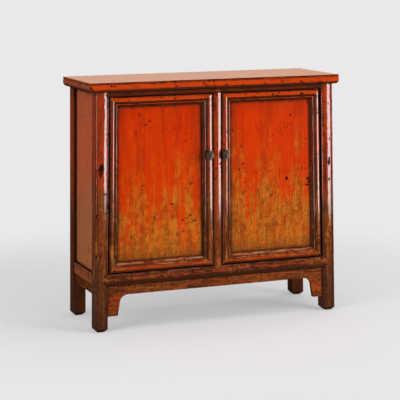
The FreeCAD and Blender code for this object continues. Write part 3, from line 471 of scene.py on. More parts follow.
class Finish(Recipe):
    """A recipe that knows the patterns and places of wear, and that ends in a surface."""

    def noise(self, grain, across, length, detail, roughness, shift):
        """Cloudy noise from 0 to 1, with its features per metre across the grain and along it."""
        mapping = new_node(self.made, "Mapping", Location=tuple(shift * part for part in NOISE_SHIFT),
                           Scale=tuple(length if axis == grain else across for axis in "XYZ"))
        self.links.new(self.place, mapping.inputs["Vector"])
        texture = new_node(self.made, "TexNoise", Scale=1, Detail=detail, Roughness=roughness)
        self.links.new(mapping.outputs["Vector"], texture.inputs["Vector"])
        return texture.outputs["Fac"]

    def draw(self, table, grain, seed):
        """Make every pattern of a table, and keep it by its name."""
        for name, (across, length, detail, roughness, shift) in table.items():
            self.pattern[name] = self.noise(grain, across, length, detail, roughness, seed + shift)

    def occlusion(self, distance, inside):
        """How closed in a point is within a distance, or from the inside, how near a corner is."""
        node = new_node(self.made, "AmbientOcclusion", Distance=distance)
        node.samples = OCCLUSION_SAMPLES
        node.inside = inside
        node.only_local = inside
        return self.work("SUBTRACT", 1.0, node.outputs["AO"])

    def hollow(self, distance):
        """From 0 in the open to 1 in a groove."""
        return self.occlusion(distance, False)

    def edge(self, distance):
        """From 0 on a face to 1 on an outside edge of the timber itself."""
        return self.occlusion(distance, True)

    def mark(self, x, z, half_width, half_height, ragged):
        """A small knock at a place on the front: 1 inside its ragged outline and 0 outside."""
        sideways = self.work("DIVIDE", self.add("across", -x), half_width)
        upwards = self.work("DIVIDE", self.add("height", -z), half_height)
        away = self.add(self.times(sideways, sideways), self.times(upwards, upwards),
                        self.sway(ragged, KNOCK_RAGGED))
        return self.step(away, *KNOCK_OUTLINE)

    def surface(self, roughness, relief, depth, specular, coat=0.0, coat_roughness=0.1, metallic=0.0):
        """Close the recipe: its colour, a clear coat over it and a bump of a depth in metres."""
        shader = new_node(self.made, "BsdfPrincipled", Specular_IOR_Level=specular, Metallic=metallic,
                          Coat_Roughness=coat_roughness, Coat_IOR=COAT_IOR)
        self.put(self.colour, shader.inputs["Base Color"])
        self.put(roughness, shader.inputs["Roughness"])
        self.put(coat, shader.inputs["Coat Weight"])
        bump = new_node(self.made, "Bump", Strength=1, Distance=depth)
        self.put(relief, bump.inputs["Height"])
        self.links.new(bump.outputs["Normal"], shader.inputs["Normal"])
        self.links.new(shader.outputs["BSDF"], self.output.inputs["Surface"])
        return self.material


print("a finish has noise, hollows, edges, knocks and a surface")

# %% [markdown]
# ## The palette
#
# The colours run from the brightest lacquer to the oldest dirt. Each could be mixed where it is
# used, but an old finish holds together because the same few tones come back on every timber, so
# they are named once.

# %% Palette
SCARLET = (0.53, 0.026, 0.0016, 1)
VERMILION = (0.55, 0.043, 0.002, 1)
ORANGE = (0.54, 0.085, 0.004, 1)
AMBER = (0.47, 0.134, 0.011, 1)
CRIMSON = (0.36, 0.018, 0.002, 1)
RAIL_RED = (0.44, 0.030, 0.003, 1)
EDGE_RED = (0.47, 0.046, 0.005, 1)
RED_BROWN = (0.24, 0.027, 0.004, 1)
RUSSET = (0.14, 0.028, 0.006, 1)
TOBACCO = (0.20, 0.058, 0.009, 1)
TAN = (0.38, 0.115, 0.024, 1)
OCHRE = (0.34, 0.120, 0.018, 1)
OLIVE = (0.19, 0.072, 0.010, 1)
UMBER = (0.042, 0.013, 0.006, 1)
# Near black: for chips and soot, and for painted shade in joints and hollows.
SOOT_AND_SHADE_BLACK = (0.009, 0.005, 0.004, 1)
AGED_WOOD = (0.20, 0.105, 0.048, 1)
DARK_GRAIN = (0.115, 0.056, 0.026, 1)
GRAIN_LINE = (0.055, 0.028, 0.014, 1)
DUST = (0.23, 0.16, 0.10, 1)
RUBBED_IRON_AND_HIGHLIGHT = (0.50, 0.40, 0.31, 1)
print("the palette runs from scarlet to soot")

# %% [markdown]
# ## Door panels: three coats
#
# The panels carry the colour that the cabinet is known for. The upper part keeps its scarlet, and
# from about half way down the lacquer has worn to orange and then to the amber ground. A colour
# ramp over the height would give three level bands. Here two borders are laid across the panel
# instead, and noise pushes them up and down: boards make wide steps, tongues follow the grain, and
# blotches fray them. Each coat is a tone that other tones streak.

# %% Panel coats
PANEL_PATTERNS = {
    # pattern: features per metre across the grain and along it, detail, roughness and seed
    "board": (27, 1.2, 2, 0.55, 1),
    "streak": (90, 6, 4, 0.60, 2),
    "tongue": (48, 7, 4, 0.62, 3),
    "cloud": (9, 6, 3, 0.55, 5),
    "hair": (300, 14, 3, 0.60, 6),
    "blotch": (52, 40, 5, 0.70, 7),
    "scratch": (280, 26, 3, 0.55, 9),
    "scrap": (70, 20, 5, 0.65, 11),
    "pit": (135, 100, 2, 0.55, 13),
    "cluster": (13, 10, 2, 0.55, 17),
    "patch": (26, 12, 4, 0.60, 19),
    "stipple": (300, 200, 3, 0.65, 21),
    "swathe": (19, 10, 3, 0.60, 30),
}
COATS = {
    # coat: its own tone, then each tone over it with its share and the step of a pattern that masks it
    "sound": (SCARLET, ((CRIMSON, 0.50, "cloud", 0.40, 0.62),
                        (VERMILION, 0.35, "board", 0.46, 0.58),
                        (ORANGE, 0.18, "streak", 0.54, 0.64))),
    "thin": (VERMILION, ((ORANGE, 0.60, "streak", 0.46, 0.60),
                         (TOBACCO, 0.55, "blotch", 0.48, 0.62),
                         (RED_BROWN, 0.30, "hair", 0.50, 0.64))),
    "ground": (AMBER, ((ORANGE, 0.42, "tongue", 0.45, 0.58),
                       (TOBACCO, 0.70, "blotch", 0.48, 0.58),
                       (RUSSET, 0.25, "hair", 0.52, 0.64))),
}
# Each border: how far in metres the boards, strips, swathes, tongues and blotches push it
THIN_REACH = (0.75, 0.05, 0.55, 0.30, 0.36)
GROUND_REACH = (0.32, 0.05, 0.55, 0.30, 0.66)
# Each border: the height over which it fades
THIN_FADE = (0.15, -0.17)
GROUND_FADE = (0.105, -0.115)


def coat_colour(recipe, coat):
    """One coat's tone, streaked as the table says."""
    colour, tones = COATS[coat]
    for tone, share, masked_by, low, high in tones:
        colour = recipe.over(colour, tone, share, recipe.step(masked_by, low, high))
    return colour


def below_border(recipe, level, reach, fade):
    """A mask of what lies below a ragged border at a height."""
    pushes = [recipe.sway(name, metres)
              for name, metres in zip(("board", "strip", "swathe", "tongue", "blotch"), reach)]
    return recipe.step(recipe.add("height", -level, *pushes), *fade)


def three_coats(recipe, red_above, amber_below):
    """Sound lacquer above, thin lacquer below the first border and ground below the second."""
    recipe.pattern["strip"] = recipe.step("board", 0.490, 0.510)
    recipe.pattern["thin"] = below_border(recipe, red_above, THIN_REACH, THIN_FADE)
    recipe.pattern["worn"] = below_border(recipe, amber_below, GROUND_REACH, GROUND_FADE)
    recipe.colour = coat_colour(recipe, "sound")
    recipe.lay(coat_colour(recipe, "thin"), 0.85, "thin")
    recipe.lay(coat_colour(recipe, "ground"), 0.95, "worn")


print("panels have", len(COATS), "coats and", len(PANEL_PATTERNS), "patterns")

# %% [markdown]
# ## Door panels: scraps, scratches, glaze and painted shade
#
# Scraps of red stay on in the worn part, dark specks and scratches run through it, and the foot of each
# panel is stained olive and brown by washed floors. Along the borders, where the frame stands out over
# the panel, a brown tone and a near-black line are laid: painted shade, together with glaze that has
# gathered there. One dirty noise over all would look like fog, so each of these is laid alone, through
# its own pattern and only where it belongs.

# %% Panel dirt
STAIN_HEIGHTS = (0.320, 0.256)
DIRT_HEIGHTS = (0.284, 0.258)
FRAME_GLAZE_AND_SHADE_REACH = 0.055
BORDER_LINE_AND_SHADE_REACH = 0.014


def panel_dirt(recipe):
    """What age has left on a panel, and painted shade with glaze along its frame."""
    recipe.lay(VERMILION, 0.60, recipe.step("scrap", 0.57, 0.63), "worn")
    recipe.lay(UMBER, 0.60, recipe.step("stipple", 0.46, 0.60),
               recipe.step("patch", 0.49, 0.58), recipe.add(0.10, "worn"))
    recipe.lay(RED_BROWN, 0.45, recipe.step("board", 0.52, 0.44), recipe.step("tongue", 0.44, 0.60))
    recipe.lay(UMBER, 0.55, recipe.step("scratch", 0.58, 0.66), recipe.add(0.20, "worn"))
    foot = recipe.add("height", recipe.sway("blotch", 0.20), recipe.sway("streak", 0.12))
    recipe.lay(OLIVE, 0.42, recipe.step(foot, *STAIN_HEIGHTS))
    recipe.lay(UMBER, 0.60, recipe.step(foot, *DIRT_HEIGHTS), recipe.step("stipple", 0.44, 0.56))
    # Painted shade with glaze: a brown tone within reach of the frame.
    frame_glaze_and_shade = recipe.add(recipe.hollow(FRAME_GLAZE_AND_SHADE_REACH), recipe.sway("blotch", 0.6))
    recipe.lay(RUSSET, 0.55, recipe.step(frame_glaze_and_shade, 0.03, 0.42))
    # Painted shade with the dark of the joint: a near-black line right beside the frame.
    border_line_and_shade = recipe.add(recipe.hollow(BORDER_LINE_AND_SHADE_REACH), recipe.sway("streak", 0.25))
    recipe.lay(UMBER, 0.97, recipe.step(border_line_and_shade, 0.04, 0.20))


# Within this reach of the frame the panels also get painted shade.
print("panels are stained below", STAIN_HEIGHTS[0], "m and glazed within", FRAME_GLAZE_AND_SHADE_REACH, "m of the frame")

# %% [markdown]
# ## Door panels: chips, knocks and bare backs
#
# Small black chips lie in clusters, and noise in two sizes gives them. The knocks that one would
# know the cabinet by, such as the strokes near the foot of the left panel, are placed from a list,
# because no noise would put them there. The backs of the panels were never lacquered: a face that
# looks back shows the bare wood. The coat on a panel is nearly gone, so it is matt.

# %% Panel finish
# Each knock: its place across and up the front, its half width and half height, and how dark it is
LEFT_KNOCKS = ((-0.131, 0.386, 0.0085, 0.0028, 0.75), (-0.117, 0.394, 0.0050, 0.0026, 0.75),
               (-0.102, 0.404, 0.0110, 0.0024, 0.90), (-0.086, 0.382, 0.0100, 0.0030, 0.65),
               (-0.096, 0.376, 0.0050, 0.0030, 0.50), (-0.241, 0.400, 0.0034, 0.0110, 0.60),
               (-0.173, 0.450, 0.0060, 0.0050, 0.70), (-0.099, 0.521, 0.0090, 0.0060, 0.50),
               (-0.294, 0.780, 0.0050, 0.0070, 0.50), (-0.271, 0.742, 0.0090, 0.0040, 0.60),
               (-0.255, 0.756, 0.0050, 0.0070, 0.50), (-0.308, 0.715, 0.0060, 0.0080, 0.45))
RIGHT_KNOCKS = ((0.283, 0.517, 0.0050, 0.0072, 1.00), (0.371, 0.511, 0.0075, 0.0065, 0.90),
                (0.368, 0.488, 0.0100, 0.0036, 0.90), (0.374, 0.500, 0.0050, 0.0050, 0.80),
                (0.297, 0.754, 0.0036, 0.0050, 0.95), (0.100, 0.646, 0.0030, 0.0060, 0.75),
                (0.254, 0.540, 0.0018, 0.0240, 0.60), (0.106, 0.472, 0.0050, 0.0090, 0.55),
                (0.118, 0.478, 0.0060, 0.0050, 0.45), (0.222, 0.458, 0.0060, 0.0090, 0.50),
                (0.234, 0.466, 0.0070, 0.0050, 0.40), (0.066, 0.706, 0.0036, 0.0050, 0.60))
PANEL_RELIEF = 0.0006
PANEL_COAT = 0.02


def panel_finish(name, red_above, amber_below, seed, knocks):
    """Scarlet lacquer that wears through orange to amber between two heights."""
    recipe = Finish(name)
    recipe.draw(PANEL_PATTERNS, "Z", seed)
    three_coats(recipe, red_above, amber_below)
    panel_dirt(recipe)
    chips = recipe.times(recipe.step("pit", 0.63, 0.67), recipe.step("cluster", 0.53, 0.60))
    recipe.lay(SOOT_AND_SHADE_BLACK, 0.92, chips)
    for x, z, half_width, half_height, strength in knocks:
        recipe.lay(SOOT_AND_SHADE_BLACK, strength, recipe.mark(x, z, half_width, half_height, "stipple"))
    bare = recipe.blend(recipe.step("streak", 0.40, 0.62), AGED_WOOD, DARK_GRAIN)
    recipe.lay(bare, 1, recipe.step("forward", 0.0, -0.5))
    relief = recipe.add(recipe.times("streak", 0.35), recipe.times("cloud", 0.6),
                        recipe.times(chips, -0.8))
    rough = recipe.add(0.42, recipe.times("streak", 0.12), recipe.times(chips, 0.3))
    return recipe.surface(rough, relief, PANEL_RELIEF, specular=0.0, coat=PANEL_COAT, coat_roughness=0.2)


panel_finishes = {
    "left": panel_finish("lacquer_panel_left", red_above=0.55, amber_below=0.385, seed=2,
                         knocks=LEFT_KNOCKS),
    "right": panel_finish("lacquer_panel_right", red_above=0.62, amber_below=0.47, seed=31,
                          knocks=RIGHT_KNOCKS),
}
print("panel finishes made, with", len(LEFT_KNOCKS) + len(RIGHT_KNOCKS), "knocks placed by hand")

# %% [markdown]
# ## Posts, frames and rails: their tones
#
# These timbers are handled and knocked, so their lacquer is thinner than the panels'. High up it is
# red-brown with crimson glints, and low down it is brown. The rails near the floor show ochre. Each kind
# of timber could have a recipe of its own, but they have aged in the same ways and only to different
# degrees, and they take the same painted shade and painted highlight. So there is one recipe, and this
# table says how much of each sort of wear, painted shade and painted highlight a kind has.

# %% Timber tones
USUAL = {
    "turning": (0.36, 0.60),  # the heights between which the low tone gives way to the high one
    "foot": 0.0,  # how high damp floors have darkened it
    "lines": 0.6,  # how dark its grain lines are
    "flank_shade": 0.72,  # how dark the painted shade is on the slopes beside its crown
    "brow_wear_and_highlight": 0.45,  # how bright its crown is: rubbed wear and a painted highlight
    "ledge_wear_and_highlight": (TAN, 0.55, 0.25, 0.50),  # tone and share on its ledges, rubbed wear and a painted highlight, and how far up they face
    "ochre": 0.0,  # how much of the ochre ground shows
    "under": 0.8,  # how dark the painted shade is on faces that look down
    "chip_size": 1.0,
    "gloss": 1.0,
    "knocks": (),
    "board": None,  # the tones of a top's upper face
}
# Each knock: its place across and up the front, its half width and its half height
POST_KNOCKS = ((-0.4445, 0.5960, 0.0105, 0.0170), (-0.4480, 0.5760, 0.0060, 0.0120),
               (0.4480, 0.5750, 0.0055, 0.0170), (0.4490, 0.5070, 0.0035, 0.0070))
TOP_BOARD = {"plain": (0.60, 0.27, 0.135, 1), "warm": (0.64, 0.21, 0.08, 1),
             "grain": (0.32, 0.12, 0.06, 1), "end": (0.27, 0.085, 0.042, 1)}
TIMBERS = {
    "post": dict(USUAL, seed=11, high=(0.30, 0.030, 0.003, 1), low=(0.13, 0.028, 0.005, 1),
                 glint=RAIL_RED, worn=TAN, darkness=0.35, chipping=0.95, foot=0.32, chip_size=1.2,
                 gloss=0.78, knocks=POST_KNOCKS),
    "back_post": dict(USUAL, seed=17, high=(0.26, 0.040, 0.008, 1), low=RUSSET, glint=RED_BROWN,
                      worn=TOBACCO, darkness=0.4, chipping=0.40, foot=0.30, gloss=0.2),
    "door": dict(USUAL, seed=23, high=RED_BROWN, low=(0.13, 0.027, 0.005, 1), glint=RAIL_RED,
                 worn=TAN, darkness=0.45, chipping=0.5),
    "door_rail": dict(USUAL, seed=29, high=RAIL_RED, low=(0.30, 0.034, 0.004, 1), glint=VERMILION,
                      worn=ORANGE, darkness=0.15, chipping=0.5, turning=(0.30, 0.50), gloss=0.45,
                      ochre=0.3, flank_shade=0.6, ledge_wear_and_highlight=((0.46, 0.24, 0.12, 1), 0.7, 0.62, 0.80)),
    "center": dict(USUAL, seed=31, high=(0.28, 0.030, 0.004, 1), low=RUSSET, glint=RAIL_RED,
                   worn=TAN, darkness=0.3, chipping=0.7, gloss=0.8),
    # The head rail's tones are nearly black: painted shade, for it stands back under the overhang of the
    # top.
    "head": dict(USUAL, seed=37, high=(0.07, 0.014, 0.005, 1), low=UMBER, glint=RED_BROWN,
                 worn=RUSSET, darkness=0.5, chipping=0.3, gloss=0.1),
    "base": dict(USUAL, seed=41, high=(0.065, 0.018, 0.007, 1), low=(0.065, 0.018, 0.007, 1),
                 glint=(0.22, 0.034, 0.006, 1), worn=(0.30, 0.044, 0.008, 1), darkness=0.75,
                 chipping=0.5, under=0.9, gloss=0.35, ochre=0.45, brow_wear_and_highlight=0.8,
                 ledge_wear_and_highlight=((0.30, 0.085, 0.050, 1), 0.4, 0.25, 0.50)),
    "base_side": dict(USUAL, seed=47, high=(0.24, 0.062, 0.020, 1), low=(0.24, 0.062, 0.020, 1),
                      glint=(0.38, 0.11, 0.04, 1), worn=(0.34, 0.12, 0.05, 1), darkness=0.45,
                      chipping=0.4, gloss=0.1),
    "apron": dict(USUAL, seed=43, high=(0.13, 0.028, 0.009, 1), low=(0.13, 0.028, 0.009, 1),
                  glint=(0.32, 0.052, 0.010, 1), worn=(0.32, 0.066, 0.012, 1), darkness=0.6,
                  chipping=0.95, gloss=0.1, chip_size=0.8, ochre=0.28),
    "apron_head": dict(USUAL, seed=97, high=(0.22, 0.032, 0.008, 1), low=(0.22, 0.032, 0.008, 1),
                       glint=(0.42, 0.046, 0.007, 1), worn=(0.38, 0.060, 0.009, 1), darkness=0.75,
                       chipping=1.0, gloss=0.1, chip_size=0.8, ochre=0.35),
    "side": dict(USUAL, seed=53, high=(0.46, 0.098, 0.040, 1), low=(0.36, 0.120, 0.044, 1),
                 glint=(0.50, 0.118, 0.050, 1), worn=(0.40, 0.140, 0.053, 1), darkness=-0.3,
                 chipping=0.0, gloss=0.05, lines=0.2),
    "top": dict(USUAL, seed=71, high=EDGE_RED, low=EDGE_RED, glint=VERMILION, worn=ORANGE,
                darkness=0.10, chipping=1.0, gloss=0.08, board=TOP_BOARD, chip_size=1.7, flank_shade=0.4),
}
print("tones for", len(TIMBERS), "kinds of timber")

# %% [markdown]
# ## Posts, frames and rails: the lacquer
#
# Under the wear each timber has its lacquer, mottled along the grain and darker in bands where the
# brush left more. The low tone gives way to the high one at a ragged height. On the corners a warmer
# tone comes through. A single noise would mottle it evenly, so the mottle is streaks and blotches
# together, and the bands come from a third, broader noise.

# %% Timber lacquer
GRAIN_PATTERNS = {
    # these follow the grain: features per metre across it and along it, detail, roughness and seed
    "hair": (240, 14, 4, 0.60, 0),
    "streak": (100, 11, 5, 0.65, 1),
    "broad": (36, 4, 4, 0.55, 3),
    "rubbed": (120, 24, 4, 0.65, 23),
}
STAIN_PATTERNS = {
    # these lie the same way on every timber
    "cloud": (12, 9, 3, 0.55, 5),
    "blotch": (75, 60, 5, 0.70, 7),
    "cluster": (17, 12, 2, 0.55, 17),
}
CREST_WIDTH = 0.006


def timber_lacquer(recipe, timber):
    """The lacquer itself: one tone up high, another down low, mottled, banded and lined."""
    border = recipe.add("height", recipe.sway("broad", 0.40), recipe.sway("cloud", 0.40))
    upper = recipe.step(border, *timber["turning"])
    mottle = recipe.add(recipe.times("streak", 0.6), recipe.times("blotch", 0.4))
    recipe.pattern.update(upper=upper, mottle=mottle)
    recipe.colour = recipe.blend(upper, timber["low"], timber["high"])
    recipe.lay(recipe.blend(upper, timber["worn"], timber["glint"]), 0.85,
               recipe.step(mottle, 0.51, 0.60))
    bands = recipe.add(recipe.times("broad", 0.45), recipe.times("blotch", 0.35),
                       recipe.times("hair", 0.2))
    dim = 0.56 - 0.1 * timber["darkness"]
    recipe.lay(UMBER, 0.85, recipe.step(bands, dim, dim + 0.05))
    recipe.lay(UMBER, timber["lines"], recipe.step("hair", 0.55, 0.65))
    recipe.lay(recipe.blend(upper, timber["worn"], ORANGE), 0.6,
               recipe.step(recipe.edge(CREST_WIDTH), 0.10, 0.36), recipe.step(mottle, 0.44, 0.56))


print("the lacquer has", len(GRAIN_PATTERNS) + len(STAIN_PATTERNS), "patterns")

# %% [markdown]
# ## The top's board
#
# The upper face of the top has been wiped for generations, so it is a milky brown with little red
# left, and the ends of its boards are dark. A thin black line runs round the arris. The upper face
# could be a piece with its own material, but the edge's lacquer turns into the brown over the
# rounded arris, so the way that a face looks decides.

# %% Top board
ARRIS_HEIGHT = 0.8955
ARRIS_SOFT = 0.001


def top_board(recipe, tones):
    """The brown upper face, the dark ends and the black arris of a top."""
    board = recipe.over(tones["plain"], tones["warm"], 0.7, recipe.step("mottle", 0.44, 0.58))
    board = recipe.over(board, tones["grain"], 0.5, recipe.step("hair", 0.54, 0.66))
    recipe.lay(board, 1, recipe.step("upward", 0.80, 0.93))
    recipe.lay(tones["end"], 0.7, recipe.step(recipe.work("ABSOLUTE", "rightward"), 0.5, 0.8))
    line = recipe.add("height", recipe.sway("mottle", 0.012))
    recipe.lay(SOOT_AND_SHADE_BLACK, 0.92, recipe.step(line, ARRIS_HEIGHT - ARRIS_SOFT, ARRIS_HEIGHT + ARRIS_SOFT),
               recipe.step("upward", 0.95, 0.80), recipe.step("rightward", -0.8, -0.4))


print("the top's arris is at", ARRIS_HEIGHT, "m")

# %% [markdown]
# ## Posts, frames and rails: rubbing, painted highlight and painted shade
#
# Every member here is crowned. Its crown is laid in a brighter tone, partly where a cloth has rubbed it
# and partly as a painted highlight, and the slopes beside it are laid darker as painted shade. Masks
# drawn by hand would have to follow every moulding. The object normal already tells a crown from its
# flanks: it points straight forward on one and turns away on the other. Low rails get ochre patches and
# dark flecks as well.

# %% Timber rubbing
FLECK_PATTERN = {"fleck": (260, 260, 3, 0.60, 27)}


def timber_rubbing(recipe, timber):
    """Painted shade on the flanks, a crown that is partly rubbed and partly a painted highlight, and the
    ochre ground where it shows.
    """
    # Painted shade: the slopes beside the crown are laid darker.
    recipe.lay(UMBER, timber["flank_shade"], recipe.step("forward", 0.975, 0.90),
               recipe.step("forward", 0.25, 0.50), recipe.step("mottle", 0.62, 0.50))
    # The crown: rubbed wear and a painted highlight, in a brighter tone.
    recipe.lay(recipe.blend("upper", timber["worn"], timber["glint"]), timber["brow_wear_and_highlight"],
               recipe.step("forward", 0.978, 0.995), recipe.step("rubbed", 0.46, 0.58))
    if timber["ochre"]:
        recipe.lay(OCHRE, timber["ochre"], recipe.step("cloud", 0.48, 0.60),
                   recipe.step("blotch", 0.47, 0.56))
        recipe.draw(FLECK_PATTERN, "Z", timber["seed"])
        recipe.lay(UMBER, 0.8, recipe.step("fleck", 0.56, 0.62))


print("ochre shows on", sum(bool(timber["ochre"]) for timber in TIMBERS.values()), "kinds of timber")

# %% [markdown]
# ## Posts, frames and rails: painted shade, glaze and ledges
#
# Faces that look down are laid dark as painted shade. Towards the corners and along the joints and gaps
# the painted shade is mixed with glaze and soot that have settled under the mouldings, and there it is
# almost black. The ledges that face up near the floor get a pale tone: tan wood rubbed bare by feet and
# brooms, and a painted highlight. Two reaches of occlusion give this painted shade its soft start and
# its dark heart, which one reach alone doesn't.

# %% Timber glaze
GLAZE_AND_SHADE_REACH = 0.060
JOINT_SOOT_AND_SHADE_REACH = 0.020


def timber_glaze(recipe, timber):
    """Painted shade on undersides, painted shade with glaze in corners and with soot in the joints, and
    rubbed wood with a painted highlight on the ledges.
    """
    # Painted shade: faces that look down are laid dark.
    recipe.lay(UMBER, timber["under"], recipe.step("upward", -0.06, -0.34))
    # Painted shade with glaze: darker towards the corners.
    corner_glaze_and_shade = recipe.add(recipe.hollow(GLAZE_AND_SHADE_REACH), recipe.sway("broad", 0.5))
    recipe.lay(UMBER, 0.75, recipe.step(corner_glaze_and_shade, 0.10, 0.65))
    # Painted shade with soot: near black along the joints and gaps.
    joint_soot_and_shade = recipe.add(recipe.hollow(JOINT_SOOT_AND_SHADE_REACH), recipe.sway("blotch", 0.35))
    recipe.lay(recipe.blend(recipe.step(joint_soot_and_shade, 0.24, 0.50), UMBER, SOOT_AND_SHADE_BLACK), 0.95,
               recipe.step(joint_soot_and_shade, 0.08, 0.34))
    if not timber["board"]:
        # The ledges: tan wood rubbed bare, and a painted highlight.
        tone, share, start, full = timber["ledge_wear_and_highlight"]
        recipe.lay(tone, share, recipe.step("upward", start, full),
                   recipe.step("upward", 0.97, 0.85), recipe.step("upper", 0.7, 0.3),
                   recipe.step("rubbed", 0.46, 0.56))


# These reaches are those of the painted shade, with the glaze and soot in it.
print("glaze reaches", GLAZE_AND_SHADE_REACH, "m out of a corner, and soot", JOINT_SOOT_AND_SHADE_REACH, "m out of a joint")

# %% [markdown]
# ## Posts, frames and rails: chips and damp
#
# Black chips follow the corners, where the lacquer had least hold. The noise that makes them gets a
# little push near an edge, so that more of it passes the threshold there. Chips cut as real dents would
# need millions of faces, and at this size they read as dark spots, so a colour and a shallow bump do.
# The dark knot on the left post and three more knocks are placed from a list. Damp floors have darkened
# the feet.

# %% Timber chips
CHIP_EDGE = 0.012
CHIPS_ACROSS = 140
CHIPS_ALONG = 110


def timber_chips(recipe, timber):
    """Lay the chips, the knocks and the damp foot, and keep the chips for the relief and the gloss."""
    size = timber["chip_size"]
    pits = recipe.noise("Z", CHIPS_ACROSS / size, CHIPS_ALONG / size, 4, 0.55, timber["seed"] + 13)
    near_edge = recipe.times(recipe.edge(CHIP_EDGE), 0.12)
    threshold = 0.62 - 0.2 * timber["chipping"]
    chips = recipe.times(recipe.step(recipe.add(pits, near_edge), 0.60, 0.64),
                         recipe.step("cluster", threshold, threshold + 0.08))
    if timber["board"]:
        chips = recipe.times(chips, recipe.step("upward", 0.95, 0.80))
    for x, z, half_width, half_height in timber["knocks"]:
        knock = recipe.mark(x, z, half_width, half_height, "blotch")
        chips = recipe.work("MAXIMUM", chips, knock)
    recipe.pattern["chips"] = chips
    recipe.lay(SOOT_AND_SHADE_BLACK, 0.94, chips)
    if timber["foot"]:
        damp = recipe.add("height", recipe.sway("streak", 0.30))
        recipe.lay(UMBER, 0.70, recipe.step(damp, timber["foot"], timber["foot"] * 0.4))


print("knocks placed by hand on the posts:", len(POST_KNOCKS))

# %% [markdown]
# ## Posts, frames and rails: gloss
#
# Only the sound lacquer keeps its clear, hard gloss, so the pale light lines fade where the surface
# is worn. One roughness for the whole timber would either shine on bare wood or lose the lines.
# Here the wood below is matt, and a clear coat lies over it in a weight that varies: full on sound
# lacquer high up, thin near the floor, and none on chips, on undersides and on faces to the right.

# %% Timber finish
TIMBER_RELIEF = 0.0004
COAT_LOW = 0.10
COAT_MORE = 0.75
COAT_HEIGHTS = (0.30, 0.44)
BOARD_COAT = 0.25


def coat_weight(recipe, timber):
    """How much clear coat is left."""
    sound = recipe.step(recipe.add("height", recipe.sway("blotch", 0.20)), *COAT_HEIGHTS)
    coat = recipe.times(recipe.step("chips", 0.6, 0.2),
                        recipe.add(COAT_LOW, recipe.times(sound, COAT_MORE)), timber["gloss"],
                        recipe.step("upward", -0.30, -0.05), recipe.step("rightward", 0.36, 0.25))
    if timber["board"]:
        coat = recipe.add(coat, recipe.times(recipe.step("upward", 0.90, 0.97), BOARD_COAT))
    return coat


def timber_finish(name, along, timber):
    """Worn lacquer on a narrow timber whose grain runs along one axis."""
    recipe = Finish(name)
    recipe.draw(GRAIN_PATTERNS, along, timber["seed"])
    recipe.draw(STAIN_PATTERNS, "Z", timber["seed"])
    timber_lacquer(recipe, timber)
    if timber["board"]:
        top_board(recipe, timber["board"])
    timber_rubbing(recipe, timber)
    timber_glaze(recipe, timber)
    timber_chips(recipe, timber)
    relief = recipe.add(recipe.times("streak", 0.4), recipe.times("cloud", 0.5),
                        recipe.times("chips", -1.0))
    rough = recipe.add(0.42, recipe.times("streak", 0.2))
    return recipe.surface(rough, relief, TIMBER_RELIEF, specular=0.0,
                          coat=coat_weight(recipe, timber), coat_roughness=0.10)


finishes = {}


def finish_of(kind, along):
    """Make a timber's finish the first time that it is asked for, and give it again after that."""
    if (kind, along) not in finishes:
        finishes[kind, along] = timber_finish(f"lacquer_{kind}_{along}", along, TIMBERS[kind])
    return finishes[kind, along]


print("sound lacquer has a coat of", COAT_LOW + COAT_MORE, "above", COAT_HEIGHTS[1], "m")

# %% [markdown]
# ## Bare wood
#
# The back, the floor, the shelf and the battens were never lacquered. They are plain softwood, brown
# with age, with long grain lines and greyer where dust lies. A wave texture would give neat stripes
# like veneer. Noise that is stretched much more along the grain than across it gives the uneven
# lines of cheap, sawn boards, and a broader one gives the rings. There is one finish for each
# direction of the grain, because a batten's grain runs across a door's.

# %% Bare wood finish
BARE_PATTERNS = {
    # pattern: features per metre across the grain and along it, detail, roughness and seed
    "grain": (190, 5, 6, 0.68, 0),
    "rings": (30, 1.2, 3, 0.55, 4),
    "cloud": (8, 8, 3, 0.55, 8),
}
BARE_SEED = 5
BARE_RELIEF = 0.0007
CORNER_SHADE_REACH = 0.03


def bare_finish(name, along):
    """Old softwood whose grain runs along one axis."""
    recipe = Finish(name)
    recipe.draw(BARE_PATTERNS, along, BARE_SEED)
    recipe.colour = recipe.blend(recipe.step("rings", 0.36, 0.66), AGED_WOOD, DARK_GRAIN)
    recipe.lay(GRAIN_LINE, 0.65, recipe.step("grain", 0.48, 0.70))
    recipe.lay(DUST, 0.35, recipe.step("cloud", 0.50, 0.75))
    # Painted shade: darker in the corners and recesses.
    recipe.lay(UMBER, 0.70, recipe.step(recipe.hollow(CORNER_SHADE_REACH), 0.20, 0.60))
    relief = recipe.add(recipe.times("grain", 0.7), recipe.times("rings", 0.4))
    rough = recipe.add(0.62, recipe.times("grain", 0.2))
    return recipe.surface(rough, relief, BARE_RELIEF, specular=0.3)


for along in "XYZ":
    finishes["bare", along] = bare_finish("old_softwood_" + along, along)
print("bare wood with its grain along X, Y and Z")

# %% [markdown]
# ## Forged iron
#
# The knobs were forged by hand, browned and waxed. Their edges are laid pale, partly where fingers have
# rubbed them bright and partly as a painted highlight, and the facets that face right and down are laid
# lighter as painted light. A plain metal shader would mirror the dim room and turn black. So the iron is
# a dull brown with only a little metal in it, with pale edges and a painted lit side. Its hollows are
# laid black as painted shade, and the plates and washers, which lie in the shade, are laid in darker
# tones as painted shade.

# %% Iron finish
IRON_PATTERNS = {
    # pattern: features per metre across and along, detail, roughness and seed
    "hammered": (160, 160, 3, 0.55, 3),
    "rust": (130, 130, 4, 0.55, 8),
}
IRON_RELIEF = 0.00015
IRON_RUB_AND_HIGHLIGHT_REACH = 0.0016
IRON_SHADE_REACH = 0.006


